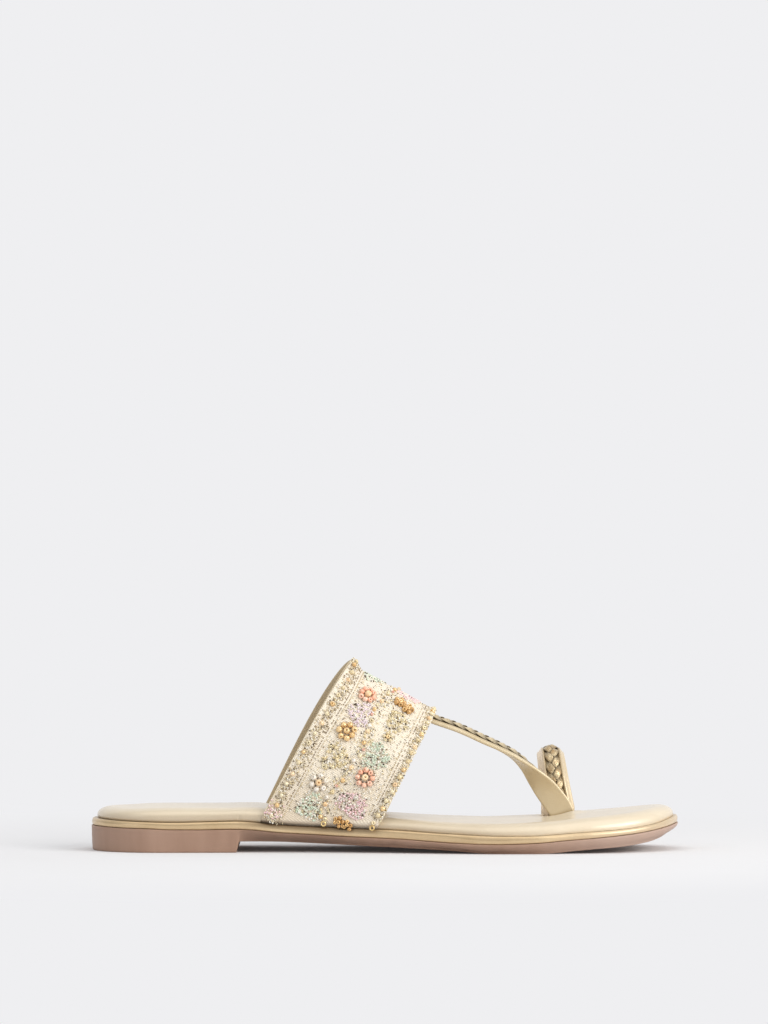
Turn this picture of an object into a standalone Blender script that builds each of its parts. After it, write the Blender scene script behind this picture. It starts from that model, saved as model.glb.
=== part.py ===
# A kolhapuri sandal for the right foot: a wide instep band, a toe strap and a loop round the big
# toe, each with its braid, on a padded footbed, a rounded rand and a moulded sole with a low heel.
#
# The sandal is drawn from the back of the heel, x = 0, to the tip of the toe. +X points to the
# toe, +Y to the inner side of the foot, and +Z up from the floor. An empty then carries it all to
# the middle of its own footprint. Tables are in millimetres, and every mesh is in metres.

from collections import namedtuple
from math import radians

import bpy
import numpy as np

MM = 0.001

# Driving dimensions, in millimetres
LENGTH = 250.0  # sole, heel to toe
GAP = 0.3  # between pieces that meet
HEEL_ROUND = 30.0  # length of the rounded back of the heel
TOE_ROUND = 44.0  # length of the rounded toe
ROUND_POWER = 2.15  # 2 is an ellipse, and more is blunter
HEEL_BREAST = 61.5  # front of the heel block, at the floor
BREAST_LEAN = 1.4  # how far the heel's front slants forward as it rises

RAND_THICK = 3.1
RAND_BULGE = 1.4  # depth of the rounded edge
RAND_INSET = 0.3  # behind the sole's own edge

FOOTBED_THICK = 4.7
FOOTBED_INSET = 2.7
FOOTBED_TUCK = 0.5  # how far its foot lies inside its widest line
FOOTBED_SWELL = 1.3  # height of the widest line
FOOTBED_ROLL = 7.0  # width of the rounded edge
FOOTBED_DOME = 0.6  # how much the padding rises in the middle

BAND_THICK = 2.0
BAND_TAB = 9.0  # lasting margin turned in under the footbed
BAND_TAB_THICK = 1.1
BAND_BEND = 2.2
BAND_FLARE = 4.0  # lift of the back edge over the instep
BAND_FLARE_DEPTH = 0.16  # share of the band's width that the flare takes
ARCH_POWER = 0.94  # 1 is an ellipse, and less is squarer

STRAP_THICK = 1.6
LOOP_THICK = 1.7
LOOP_WIDTH_TOP, LOOP_WIDTH_FOOT = 11.4, 13.6
LOOP_TAB = 7.0
BRAID_WIDTH = 6.4
BRAID_HIGH = 1.8

# The sole's outline from above: its middle line and half its width before the ends are rounded
Plan = namedtuple("Plan", "place x middle half_width")
PLAN = (
    Plan("heel back", 0, 0.0, 29.0),
    Plan("heel seat", 34, 0.0, 29.6),
    Plan("heel front", 62, -0.1, 28.8),
    Plan("waist", 92, -0.5, 28.4),
    Plan("band front", 124, -1.0, 32.4),
    Plan("behind the ball", 150, -1.1, 37.6),
    Plan("outer ball", 172, -0.6, 41.2),
    Plan("inner ball", 188, 0.6, 41.6),
    Plan("toe roots", 206, 1.9, 39.6),
    Plan("toes", 224, 3.2, 38.6),
    Plan("tip", 250, 6.0, 38.0),
)

# The sole's side view: the tread in front of the heel, and the top of the moulded sole
Arch = namedtuple("Arch", "place x tread")
ARCH = (
    Arch("heel breast", 62.9, 4.9),
    Arch("shank", 80, 4.8),
    Arch("waist", 98, 4.2),
    Arch("behind the band", 118, 3.0),
    Arch("band front", 134, 1.9),
    Arch("behind the ball", 152, 0.6),
    Arch("flat starts", 167, 0.0),
    Arch("flat ends", 189, 0.0),
    Arch("toe roots", 206, 0.9),
    Arch("toes", 225, 2.9),
    Arch("toe spring", 239, 5.6),
    Arch("tip", 250, 8.8),
)
Side = namedtuple("Side", "place x top")
SIDE = (
    Side("heel back", 0, 10.6),
    Side("heel seat", 26, 10.1),
    Side("heel front", 56, 9.9),
    Side("drop starts", 64, 9.7),
    Side("drop ends", 82, 8.1),
    Side("waist", 104, 7.1),
    Side("band front", 130, 6.2),
    Side("behind the ball", 150, 5.1),
    Side("ball", 172, 4.4),
    Side("inner ball", 186, 4.6),
    Side("toe roots", 206, 5.9),
    Side("toes", 225, 7.8),
    Side("toe spring", 239, 9.8),
    Side("tip", 250, 12.0),
)

# How far the tread's edge lies inside the top edge of the moulded sole
Undercut = namedtuple("Undercut", "place x inset")
UNDERCUT = (
    Undercut("heel back", 0, 0.5),
    Undercut("waist", 90, 0.8),
    Undercut("toe roots", 206, 1.2),
    Undercut("toe spring", 239, 2.6),
    Undercut("tip", 250, 4.2),
)

# The instep band's back and front edges: where each side meets the sole, how far it bows back
# on its way up, and the crown
BandEdge = namedtuple(
    "BandEdge", "place outer_x inner_x outer_bow inner_bow crown_x crown_y crown_z"
)
BAND = (
    BandEdge("back", 73.4, 74.6, 3.2, 6.4, 111.3, 4.6, 74.8),
    BandEdge("front", 122.7, 121.6, 0.7, 1.4, 145.7, 5.0, 56.6),
)

# The toe strap's middle line, how far its face has turned to the inner side, and its width
Strap = namedtuple("Strap", "place x y z turn width")
STRAP = (
    Strap("sewn under the band", 131.5, 5.0, 60.6, 0, 8.8),
    Strap("band's front edge", 145.6, 5.0, 53.7, 0, 9.2),
    Strap("over the instep", 155.0, 5.0, 50.6, 0, 9.8),
    Strap("middle", 165.4, 4.9, 46.5, 0, 10.0),
    Strap("towards the toes", 174.3, 4.8, 42.6, 2, 10.0),
    Strap("starts to turn", 180.1, 4.7, 39.3, 8, 10.0),
    Strap("turning", 184.8, 4.7, 35.3, 21, 10.1),
    Strap("half turned", 189.9, 4.8, 29.7, 48, 10.3),
    Strap("upright", 195.6, 5.1, 22.5, 80, 10.5),
    Strap("at the footbed", 200.2, 5.3, 15.7, 90, 10.6),
    Strap("in its slot", 201.6, 5.3, 11.3, 90, 10.6),
)
STRAP_BRAID_FROM, STRAP_BRAID_TO = 0.176, 0.80  # shares of the strap's length

# The loop round the big toe, as an arch from the slot between the toes to the sole's inner edge
LOOP_FOOT_X = 199.2
LOOP_SLOT_Y = 10.3
LOOP_SLOT_DEEP = 3.2  # below the top of the footbed
LOOP_TOP_Z = 39.6
LOOP_INSET = 2.8  # its inner leg's middle, inside the sole's edge
LOOP_LEAN = 4.4  # how far its top lies behind its feet
LOOP_SPRING_Z = 17.0  # height at which the legs start to curve
LOOP_BRAID_FROM, LOOP_BRAID_TO = 0.09, 0.80

# Colours of the materials: red, green, blue, roughness, metallic
FINISH = {
    "sole_unit": (0.40, 0.26, 0.21, 0.55, 0.0),
    "gold_rand": (0.72, 0.53, 0.28, 0.35, 0.7),
    "footbed": (0.80, 0.69, 0.49, 0.50, 0.1),
    "beaded_fabric": (0.82, 0.71, 0.53, 0.80, 0.0),
    "strap_leather": (0.74, 0.61, 0.38, 0.45, 0.2),
    "gold_braid": (0.62, 0.43, 0.20, 0.35, 0.8),
}


def column(table, name):
    """One named column of a table, as an array."""
    return np.array([getattr(row, name) for row in table], float)


def through(keys, values, at):
    """A smooth curve through the points (keys, values), read at each key in at. It never
    overshoots: where two neighbouring steps differ in sign, or one is level, its slope is 0."""
    step = np.diff(values) / np.diff(keys)
    product = step[:-1] * step[1:]
    total = np.where(product > 0, step[:-1] + step[1:], 1.0)
    inner = np.where(product > 0, 2 * product / total, 0.0)
    slope = np.concatenate([step[:1], inner, step[-1:]])
    at = np.clip(np.asarray(at, float), keys[0], keys[-1])
    i = np.clip(np.searchsorted(keys, at, side="right") - 1, 0, len(keys) - 2)
    span = keys[i + 1] - keys[i]
    t = (at - keys[i]) / span
    start = (1 + 2 * t) * (1 - t) ** 2 * values[i] + t * (1 - t) ** 2 * span * slope[i]
    end = t * t * (3 - 2 * t) * values[i + 1] - t * t * (1 - t) * span * slope[i + 1]
    return start + end


def read(table, name, x):
    """The named column of a table at the places x."""
    return through(column(table, "x"), column(table, name), x)


# ---- the sole's form ----


def ends_rounded(x):
    """1 along the sole, falling to 0 at the back of the heel and at the tip of the toe."""
    heel = np.clip((HEEL_ROUND - x) / HEEL_ROUND, 0, 1)
    toe = np.clip((x - (LENGTH - TOE_ROUND)) / TOE_ROUND, 0, 1)
    return (1 - np.maximum(heel, toe) ** ROUND_POWER) ** (1 / ROUND_POWER)


def edge_y(x, side):
    """The sole's edge at x: side is -1 for the outer edge and 1 for the inner one."""
    return read(PLAN, "middle", x) + side * read(PLAN, "half_width", x) * ends_rounded(x)


def sole_top(x):
    return read(SIDE, "top", x)


def rand_top(x):
    return sole_top(x) + GAP + RAND_THICK


def footbed_top(x):
    return rand_top(x) + GAP + FOOTBED_THICK


def tread(x):
    """Height of the sole's underside: 0 under the heel, up the heel's leaning front, then
    along the arch and the forefoot."""
    rise = np.clip((x - HEEL_BREAST) / BREAST_LEAN, 0, 1)
    return np.where(x < HEEL_BREAST + BREAST_LEAN, rise * ARCH[0].tread, read(ARCH, "tread", x))


def stations(around_heel=9, along=19, around_toe=11):
    """Places along the sole, close together where its ends curve, with both edges of the
    heel's front among them."""
    heel = HEEL_ROUND * (1 - np.cos(np.linspace(0, np.pi / 2, around_heel)))
    toe = LENGTH - TOE_ROUND * (1 - np.cos(np.linspace(np.pi / 2, 0, around_toe)))
    middle = np.linspace(heel[-1], toe[0], along)[1:-1]
    breast = np.array([HEEL_BREAST, HEEL_BREAST + BREAST_LEAN])
    middle = middle[np.abs(middle - breast.mean()) > 2 * BREAST_LEAN]
    return np.sort(np.concatenate([heel, middle, breast, toe]))


def outline():
    """The sole's edge from above, counter-clockwise from the back of the heel, and its
    outward direction at each point. Point i and point -i lie across from each other."""
    x = stations()
    outer = np.column_stack([x, edge_y(x, -1)])
    inner = np.column_stack([x, edge_y(x, 1)])[1:-1]
    ring = np.concatenate([outer, inner[::-1]])
    along = np.roll(ring, -1, axis=0) - np.roll(ring, 1, axis=0)
    along /= np.linalg.norm(along, axis=1)[:, None]
    return ring, np.column_stack([along[:, 1], -along[:, 0]])


def ring_at(inset, height, level_across=False):
    """The outline drawn in by inset, at the height that the function gives. With
    level_across both ends of each line across the sole keep one height."""
    ring, outward = outline()
    inset = np.broadcast_to(inset, len(ring))
    moved = ring - outward * inset[:, None]
    x = ring[:, 0] if level_across else moved[:, 0]
    return np.column_stack([moved, height(x)])


# ---- meshes ----


def close_across(ring, columns, dome, points, faces, first):
    """Fills a ring with lines across it, each cut into columns and raised by dome at its
    middle. first is the number of the ring's first point in points."""
    half = len(ring) // 2
    rows = [[first]]
    for i in range(1, half):
        far = len(ring) - i
        row = [first + i]
        for share in np.arange(1, columns) / columns:
            point = ring[i] * (1 - share) + ring[far] * share
            point[2] += dome * (1 - (2 * share - 1) ** 2)
            row.append(len(points))
            points.append(point)
        row.append(first + far)
        rows.append(row)
    rows.append([first + half])
    for a, b in zip(rows, rows[1:]):
        for j in range(columns):
            if len(a) == 1:
                faces.append((a[0], b[j], b[j + 1]))
            elif len(b) == 1:
                faces.append((a[j], b[0], a[j + 1]))
            else:
                faces.append((a[j], b[j], b[j + 1], a[j + 1]))


def layer(rings, columns=1, dome=0.0):
    """A closed layer of the sole, from its rings, lowest first."""
    count = len(rings[0])
    points = [p for ring in rings for p in ring]
    faces = []
    for k in range(len(rings) - 1):
        for i in range(count):
            j = (i + 1) % count
            faces.append((k * count + i, k * count + j, (k + 1) * count + j, (k + 1) * count + i))
    top_first = (len(rings) - 1) * count
    close_across(rings[-1], columns, dome, points, faces, top_first)
    underside = []
    close_across(rings[0], 1, 0.0, points, underside, 0)
    faces += [face[::-1] for face in underside]
    return points, faces


def sweep(places, across, out, sections):
    """A closed bar along places. Each section's points (a, b) go a along across and b along
    out; a section runs counter-clockwise when looked at along the bar, from its start."""
    size = len(sections[0])
    points = [
        p + a * w + b * n
        for p, w, n, section in zip(places, across, out, sections)
        for a, b in section
    ]
    faces = []
    for k in range(len(places) - 1):
        for i in range(size):
            j = (i + 1) % size
            faces.append((k * size + i, (k + 1) * size + i, (k + 1) * size + j, k * size + j))
    last = (len(places) - 1) * size
    faces.append(tuple(range(size)))
    faces.append(tuple(last + i for i in reversed(range(size))))
    return points, faces


def object_of(name, mesh, finish=None):
    """An object from (points, faces) in millimetres, carried by the empty. Without a finish
    it is a cutter, which is not part of the sandal."""
    points, faces = mesh
    data = bpy.data.meshes.new(name)
    data.from_pydata([tuple(p * MM) for p in points], [], faces)
    data.update()
    made = bpy.data.objects.new(name, data)
    bpy.context.scene.collection.objects.link(made)
    made.parent = CARRIER
    if finish is None:
        made.hide_render = True
        made.display_type = "WIRE"
        return made
    data.materials.append(material(finish))
    data.shade_smooth()
    data.set_sharp_from_angle(angle=radians(40))
    return made


def material(finish):
    if finish in bpy.data.materials:
        return bpy.data.materials[finish]
    *colour, roughness, metallic = FINISH[finish]
    made = bpy.data.materials.new(finish)
    made.use_nodes = True
    shader = made.node_tree.nodes["Principled BSDF"]
    shader.inputs["Base Color"].default_value = (*colour, 1.0)
    shader.inputs["Roughness"].default_value = roughness
    shader.inputs["Metallic"].default_value = metallic
    return made


def cut(piece, cutter):
    modifier = piece.modifiers.new(cutter.name, "BOOLEAN")
    modifier.operation = "DIFFERENCE"
    modifier.object = cutter


# ---- the sole's three layers ----


def sole_unit():
    """The moulded sole and heel in one: upright at its top edge, drawn in towards the tread,
    with a small round along the tread's edge."""
    ring, _ = outline()
    under = read(UNDERCUT, "inset", ring[:, 0])
    edge_round = 0.7
    return layer([
        ring_at(under + edge_round, tread, level_across=True),
        ring_at(under, lambda x: tread(x) + edge_round, level_across=True),
        ring_at(0.15, lambda x: sole_top(x) - 0.6),
        ring_at(0.0, lambda x: sole_top(x) - 0.3),
        ring_at(0.25, sole_top),
    ])


def rand():
    """The board under the footbed, with a half-round edge."""
    rings = []
    for turn in np.linspace(-np.pi / 2, np.pi / 2, 7):
        inset = RAND_INSET + RAND_BULGE * (1 - np.cos(turn))
        lift = GAP + RAND_THICK * (1 + np.sin(turn)) / 2
        rings.append(ring_at(inset, lambda x, lift=lift: sole_top(x) + lift))
    return layer(rings)


def footbed():
    """The padded footbed: its edge swells out a little, then rolls over to the domed top."""
    rings = [ring_at(FOOTBED_INSET + FOOTBED_TUCK, lambda x: rand_top(x) + GAP)]
    for turn in np.linspace(0, np.pi / 2, 7):
        inset = FOOTBED_INSET + FOOTBED_ROLL * (1 - np.cos(turn))
        lift = GAP + FOOTBED_SWELL + (FOOTBED_THICK - FOOTBED_SWELL) * np.sin(turn)
        rings.append(ring_at(inset, lambda x, lift=lift: rand_top(x) + lift))
    return layer(rings, columns=6, dome=FOOTBED_DOME)


# ---- the instep band ----


def band_line(share):
    """The band's sizes on one line, at a share of the way from its back edge to its front."""
    back, front = (np.array(edge[1:], float) for edge in BAND)
    return BandEdge("", *(back + (front - back) * share))


def band_half(corner, foot, crown, bow, margin):
    """Half a line of the band's middle surface, from its tab's inner end, round the bend at
    its corner and up to the crown, with the wall's thickness along it. foot is the point under
    the crown, level with the corner."""
    start = np.arcsin(BAND_BEND / np.linalg.norm(crown - foot))
    angles = np.linspace(start, np.pi / 2, 13)
    rise = (np.sin(angles) ** ARCH_POWER)[:, None]
    reach = (np.cos(angles).clip(0) ** ARCH_POWER)[:, None]
    arch = foot + (corner - foot) * reach + (crown - foot) * rise
    arch[:, :1] -= bow * 5.2 * rise**1.5 * (1 - rise)  # 5.2 makes its greatest value 1
    inward = np.array([0.0, -np.sign(corner[1]), 0.0])
    tab = np.linspace(corner + inward * (BAND_TAB + margin), corner + inward * BAND_BEND, 4)
    t = np.array([[0.25], [0.5], [0.75]])
    bend = tab[-1] * (1 - t) ** 2 + corner * 2 * t * (1 - t) + arch[0] * t * t
    points = np.concatenate([tab, bend, arch])
    ends = len(tab) - 1, len(tab) + len(bend)
    thick = np.interp(np.arange(len(points)), ends, (BAND_TAB_THICK, BAND_THICK))
    return points, thick


def band_row(share, margin):
    """One line of the band's middle surface, from the outer tab over the crown to the inner
    tab, and the wall's thickness along it."""
    line = band_line(share)
    flare = BAND_FLARE * max(0.0, 1 - share / BAND_FLARE_DEPTH) ** 2
    crown = np.array([line.crown_x, line.crown_y, line.crown_z + flare])
    inset = FOOTBED_INSET - GAP - BAND_THICK / 2
    corners = []
    for side, x in ((-1, line.outer_x), (1, line.inner_x)):
        y = edge_y(x, side) - side * inset
        corners.append(np.array([x, y, rand_top(x) + GAP + BAND_TAB_THICK / 2]))
    outer, inner = corners
    split = (crown[1] - outer[1]) / (inner[1] - outer[1])
    foot = outer * (1 - split) + inner * split
    outer_half, outer_thick = band_half(outer, foot, crown, line.outer_bow, margin)
    inner_half, inner_thick = band_half(inner, foot, crown, line.inner_bow, margin)
    row = np.concatenate([outer_half, inner_half[-2::-1]])
    return row, np.concatenate([outer_thick, inner_thick[-2::-1]])


def band(margin=0.0):
    """The band as a wall of its thickness round its middle surface. margin makes it larger
    all round, for the cutter that makes its recess."""
    overrun = margin / 45.0  # margin as a share of the band's width
    shares = np.array([0, 0.04, 0.09, 0.16, 0.3, 0.45, 0.6, 0.75, 0.88, 1.0])
    shares = shares * (1 + 2 * overrun) - overrun
    rows = [band_row(share, margin) for share in shares]
    surface = np.array([row for row, _ in rows])
    half = (rows[0][1] / 2 + margin)[None, :, None]
    along = np.gradient(surface, axis=1)
    over = np.gradient(surface, axis=0)
    out = np.cross(along, over)
    out /= np.linalg.norm(out, axis=2)[:, :, None]
    if out[len(shares) // 2, surface.shape[1] // 2, 2] < 0:
        out = -out
    skins = np.array([surface - out * half, surface + out * half])
    lines, length = surface.shape[:2]
    number = np.arange(2 * lines * length).reshape(2, lines, length)
    faces = []
    for i in range(lines - 1):
        for j in range(length - 1):
            here, beside = (i, j), (i, j + 1)
            ahead, across = (i + 1, j), (i + 1, j + 1)
            faces.append([number[0][at] for at in (here, beside, across, ahead)])
            faces.append([number[1][at] for at in (here, ahead, across, beside)])
    rim = [number[:, 0, j] for j in range(length)]
    rim += [number[:, i, -1] for i in range(1, lines)]
    rim += [number[:, -1, j] for j in range(length - 2, -1, -1)]
    rim += [number[:, i, 0] for i in range(lines - 2, 0, -1)]
    for a, b in zip(rim, rim[1:] + rim[:1]):
        faces.append((a[0], a[1], b[1], b[0]))
    faces = [tuple(int(n) for n in face) for face in faces]
    return list(skins.reshape(-1, 3)), faces


# ---- strap, loop and braids ----


def frames(places, across, turn=0.0):
    """Directions across and out of a ribbon along places. At no turn across is the given
    direction, squared to the ribbon; turn then swings its face towards that direction."""
    ahead = np.gradient(places, axis=0)
    ahead /= np.linalg.norm(ahead, axis=1)[:, None]
    across = across - ahead * (ahead @ across)[:, None]
    across /= np.linalg.norm(across, axis=1)[:, None]
    out = np.cross(ahead, across)
    swing = np.radians(np.broadcast_to(turn, len(places)))[:, None]
    return across * np.cos(swing) - out * np.sin(swing), across * np.sin(swing) + out * np.cos(swing)


def strip_section(width, thick):
    """A flat strip's section, with round edges."""
    radius = thick / 2
    turns = np.linspace(-np.pi / 2, np.pi / 2, 5)
    right = [(width / 2 - radius + radius * np.cos(t), radius * np.sin(t)) for t in turns]
    left = [(-a, -b) for a, b in right]
    return (right + left)[::-1]


def braid_section(width, high, base):
    """A braid's section: flat below, at base over the ribbon's middle, and rounded above."""
    turns = np.linspace(0, np.pi, 7)
    flat = [(-width / 2, base), (width / 2, base)]
    dome = [(np.cos(t) * width / 2, base + 0.5 + (high - 0.5) * np.sin(t)) for t in turns]
    return (flat + dome)[::-1]


def strap_line(count):
    """The toe strap's middle line at even shares of its length, with its turn and width."""
    rows = np.column_stack([column(STRAP, name) for name in ("x", "y", "z")])
    run = np.concatenate([[0], np.cumsum(np.linalg.norm(np.diff(rows, axis=0), axis=1))])
    at = np.linspace(0, run[-1], count)
    places = np.column_stack([through(run, rows[:, i], at) for i in range(3)])
    turn = through(run, column(STRAP, "turn"), at)
    width = through(run, column(STRAP, "width"), at)
    return places, turn, width


def toe_strap(margin=0.0):
    places, turn, width = strap_line(30)
    across, out = frames(places, np.array([0.0, 1.0, 0.0]), turn)
    sections = [strip_section(w + 2 * margin, STRAP_THICK + 2 * margin) for w in width]
    if margin:
        places[-1] += (places[-1] - places[-2]) * 0.5
    return sweep(places, across, out, sections)


def braid_on(places, across, out, base, start, end):
    """A braid from one share of a ribbon's length to another, tapered at both ends."""
    count = len(places)
    first, last = round(start * (count - 1)), round(end * (count - 1))
    shares = np.linspace(0, 1, last - first + 1)
    full = np.minimum(1, 0.45 + 5 * np.minimum(shares, 1 - shares))
    sections = [braid_section(BRAID_WIDTH * f, BRAID_HIGH * f, base + GAP) for f in full]
    part = slice(first, last + 1)
    return sweep(places[part], across[part], out[part], sections)


def strap_braid():
    places, turn, _ = strap_line(45)
    across, out = frames(places, np.array([0.0, 1.0, 0.0]), turn)
    return braid_on(places, across, out, STRAP_THICK / 2, STRAP_BRAID_FROM, STRAP_BRAID_TO)


def loop_line():
    """The toe loop's middle line: up from its slot, over the toe, down to the sole's inner
    edge and in under the footbed."""
    x = LOOP_FOOT_X
    near = LOOP_SLOT_Y
    far = edge_y(x, 1) - LOOP_INSET
    middle, reach = (near + far) / 2, (far - near) / 2
    bottom = footbed_top(x) - LOOP_SLOT_DEEP
    tab_z = rand_top(x + LOOP_WIDTH_FOOT / 2) + GAP + LOOP_THICK / 2
    bend = 2.4
    points = [(x, near, z) for z in np.linspace(bottom, LOOP_SPRING_Z, 5)[:-1]]
    rise = LOOP_TOP_Z - LOOP_SPRING_Z
    for turn in np.linspace(0, np.pi, 21):
        lean = LOOP_LEAN * np.sin(turn)
        points.append((x - lean, middle - reach * np.cos(turn), LOOP_SPRING_Z + rise * np.sin(turn)))
    for z in np.linspace(LOOP_SPRING_Z, tab_z + bend, 4)[1:]:
        points.append((x, far, z))
    for turn in np.radians((30, 60, 90)):
        points.append((x, far - bend * (1 - np.cos(turn)), tab_z + bend * (1 - np.sin(turn))))
    for y in np.linspace(far - bend, far - LOOP_TAB, 4)[1:]:
        points.append((x, y, tab_z))
    return np.array(points, float)


def toe_loop(margin=0.0):
    places = loop_line()
    if margin:
        places[0] += (places[0] - places[1]) * 0.6
        places[-1] += (places[-1] - places[-2]) * 0.3
    across, out = frames(places, np.array([-1.0, 0.0, 0.0]))
    foot = ((LOOP_TOP_Z - places[:, 2]) / (LOOP_TOP_Z - LOOP_SPRING_Z)).clip(0, 1) ** 2
    width = LOOP_WIDTH_TOP + (LOOP_WIDTH_FOOT - LOOP_WIDTH_TOP) * foot
    sections = [strip_section(w + 2 * margin, LOOP_THICK + 2 * margin) for w in width]
    return sweep(places, across, out, sections)


def loop_braid():
    places = loop_line()
    across, out = frames(places, np.array([-1.0, 0.0, 0.0]))
    return braid_on(places, across, out, LOOP_THICK / 2, LOOP_BRAID_FROM, LOOP_BRAID_TO)


# ---- the sandal ----

for old in list(bpy.data.objects):
    bpy.data.objects.remove(old)

along_sole = stations()
across_middle = (edge_y(along_sole, 1).max() + edge_y(along_sole, -1).min()) / 2
CARRIER = bpy.data.objects.new("sandal", None)
CARRIER.location = (-LENGTH / 2 * MM, -across_middle * MM, 0)
bpy.context.scene.collection.objects.link(CARRIER)

object_of("sole_unit", sole_unit(), "sole_unit")
object_of("rand", rand(), "gold_rand")
bed = object_of("footbed", footbed(), "footbed")
object_of("instep_band", band(), "beaded_fabric")
object_of("toe_strap", toe_strap(), "strap_leather")
object_of("toe_strap_braid", strap_braid(), "gold_braid")
object_of("toe_loop", toe_loop(), "strap_leather")
object_of("toe_loop_braid", loop_braid(), "gold_braid")

cut(bed, object_of("band_recess", band(GAP)))
cut(bed, object_of("strap_slot", toe_strap(GAP)))
cut(bed, object_of("loop_slot", toe_loop(GAP)))
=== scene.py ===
import bmesh
import bpy
import numpy as np
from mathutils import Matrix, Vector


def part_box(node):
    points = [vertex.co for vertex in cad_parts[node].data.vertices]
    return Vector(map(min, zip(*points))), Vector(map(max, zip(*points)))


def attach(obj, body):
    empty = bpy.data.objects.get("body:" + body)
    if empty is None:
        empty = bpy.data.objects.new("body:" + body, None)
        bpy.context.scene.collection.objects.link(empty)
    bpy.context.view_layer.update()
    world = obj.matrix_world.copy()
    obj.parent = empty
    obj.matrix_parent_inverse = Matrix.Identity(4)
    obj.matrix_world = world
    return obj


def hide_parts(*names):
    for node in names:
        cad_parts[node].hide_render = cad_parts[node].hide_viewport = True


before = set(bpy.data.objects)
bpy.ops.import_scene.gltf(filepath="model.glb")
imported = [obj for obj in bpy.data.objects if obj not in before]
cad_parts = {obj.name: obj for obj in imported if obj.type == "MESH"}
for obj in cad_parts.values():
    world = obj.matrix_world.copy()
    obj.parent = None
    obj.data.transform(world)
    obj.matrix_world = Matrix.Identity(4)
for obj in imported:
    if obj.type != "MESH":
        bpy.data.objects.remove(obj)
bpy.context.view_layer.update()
print("frame loaded:", ", ".join(sorted(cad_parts)))


# Reading tables and noise


def through(keys, values, at):
    # A smooth curve through the points (keys, values), read at each key in at. Its slope at a
    # point is the harmonic mean of the two steps beside it, or 0 where they differ in sign.
    step = np.diff(values) / np.diff(keys)
    product = step[:-1] * step[1:]
    total = np.where(product > 0, step[:-1] + step[1:], 1.0)
    inner = np.where(product > 0, 2 * product / total, 0.0)
    slope = np.concatenate([step[:1], inner, step[-1:]])
    at = np.clip(np.asarray(at, float), keys[0], keys[-1])
    i = np.clip(np.searchsorted(keys, at, side="right") - 1, 0, len(keys) - 2)
    span = keys[i + 1] - keys[i]
    t = (at - keys[i]) / span
    start = (1 + 2 * t) * (1 - t) ** 2 * values[i] + t * (1 - t) ** 2 * span * slope[i]
    end = t * t * (3 - 2 * t) * values[i + 1] - t * t * (1 - t) * span * slope[i + 1]
    return start + end


def readTable(table, column, at):
    # One column of a table whose first column is the key.
    rows = np.array(table, float)
    return through(rows[:, 0], rows[:, column], at)


def eased(share):
    # From 0 to 1, level at both ends: 3 t^2 - 2 t^3.
    share = np.clip(share, 0, 1)
    return share * share * (3 - 2 * share)


def bell(distance, width, power=2):
    # 1 in the middle and falling to 0 on both sides: e to the minus (distance / width)^power.
    return np.exp(-((distance / width) ** power))


def unit(vectors):
    # Vectors brought to length 1.
    return vectors / np.maximum(np.linalg.norm(vectors, axis=-1, keepdims=True), 1e-12)


def runAlong(line):
    # How far along a line each of its points lies from the first.
    return np.cumsum(np.linalg.norm(np.diff(line, axis=0, prepend=line[:1]), axis=1))


def readLine(at, keys, line):
    # Points of a line between its own, which stand at keys.
    return np.stack([np.interp(at, keys, line[:, k]) for k in range(3)], axis=1)


def ripples(points, wave, seed):
    # Soft unevenness between about -1 and 1: the mean of eight sine waves of roughly the given
    # length in millimetres, with directions and phases drawn from the seed.
    draw = np.random.default_rng(seed)
    directions = unit(draw.normal(size=(8, 3))) / (wave * draw.uniform(0.7, 1.5, 8))[:, None]
    phases = draw.uniform(0, 2 * np.pi, 8)
    return np.sin(points @ directions.T * 2 * np.pi + phases).mean(axis=-1) * 1.6


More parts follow.
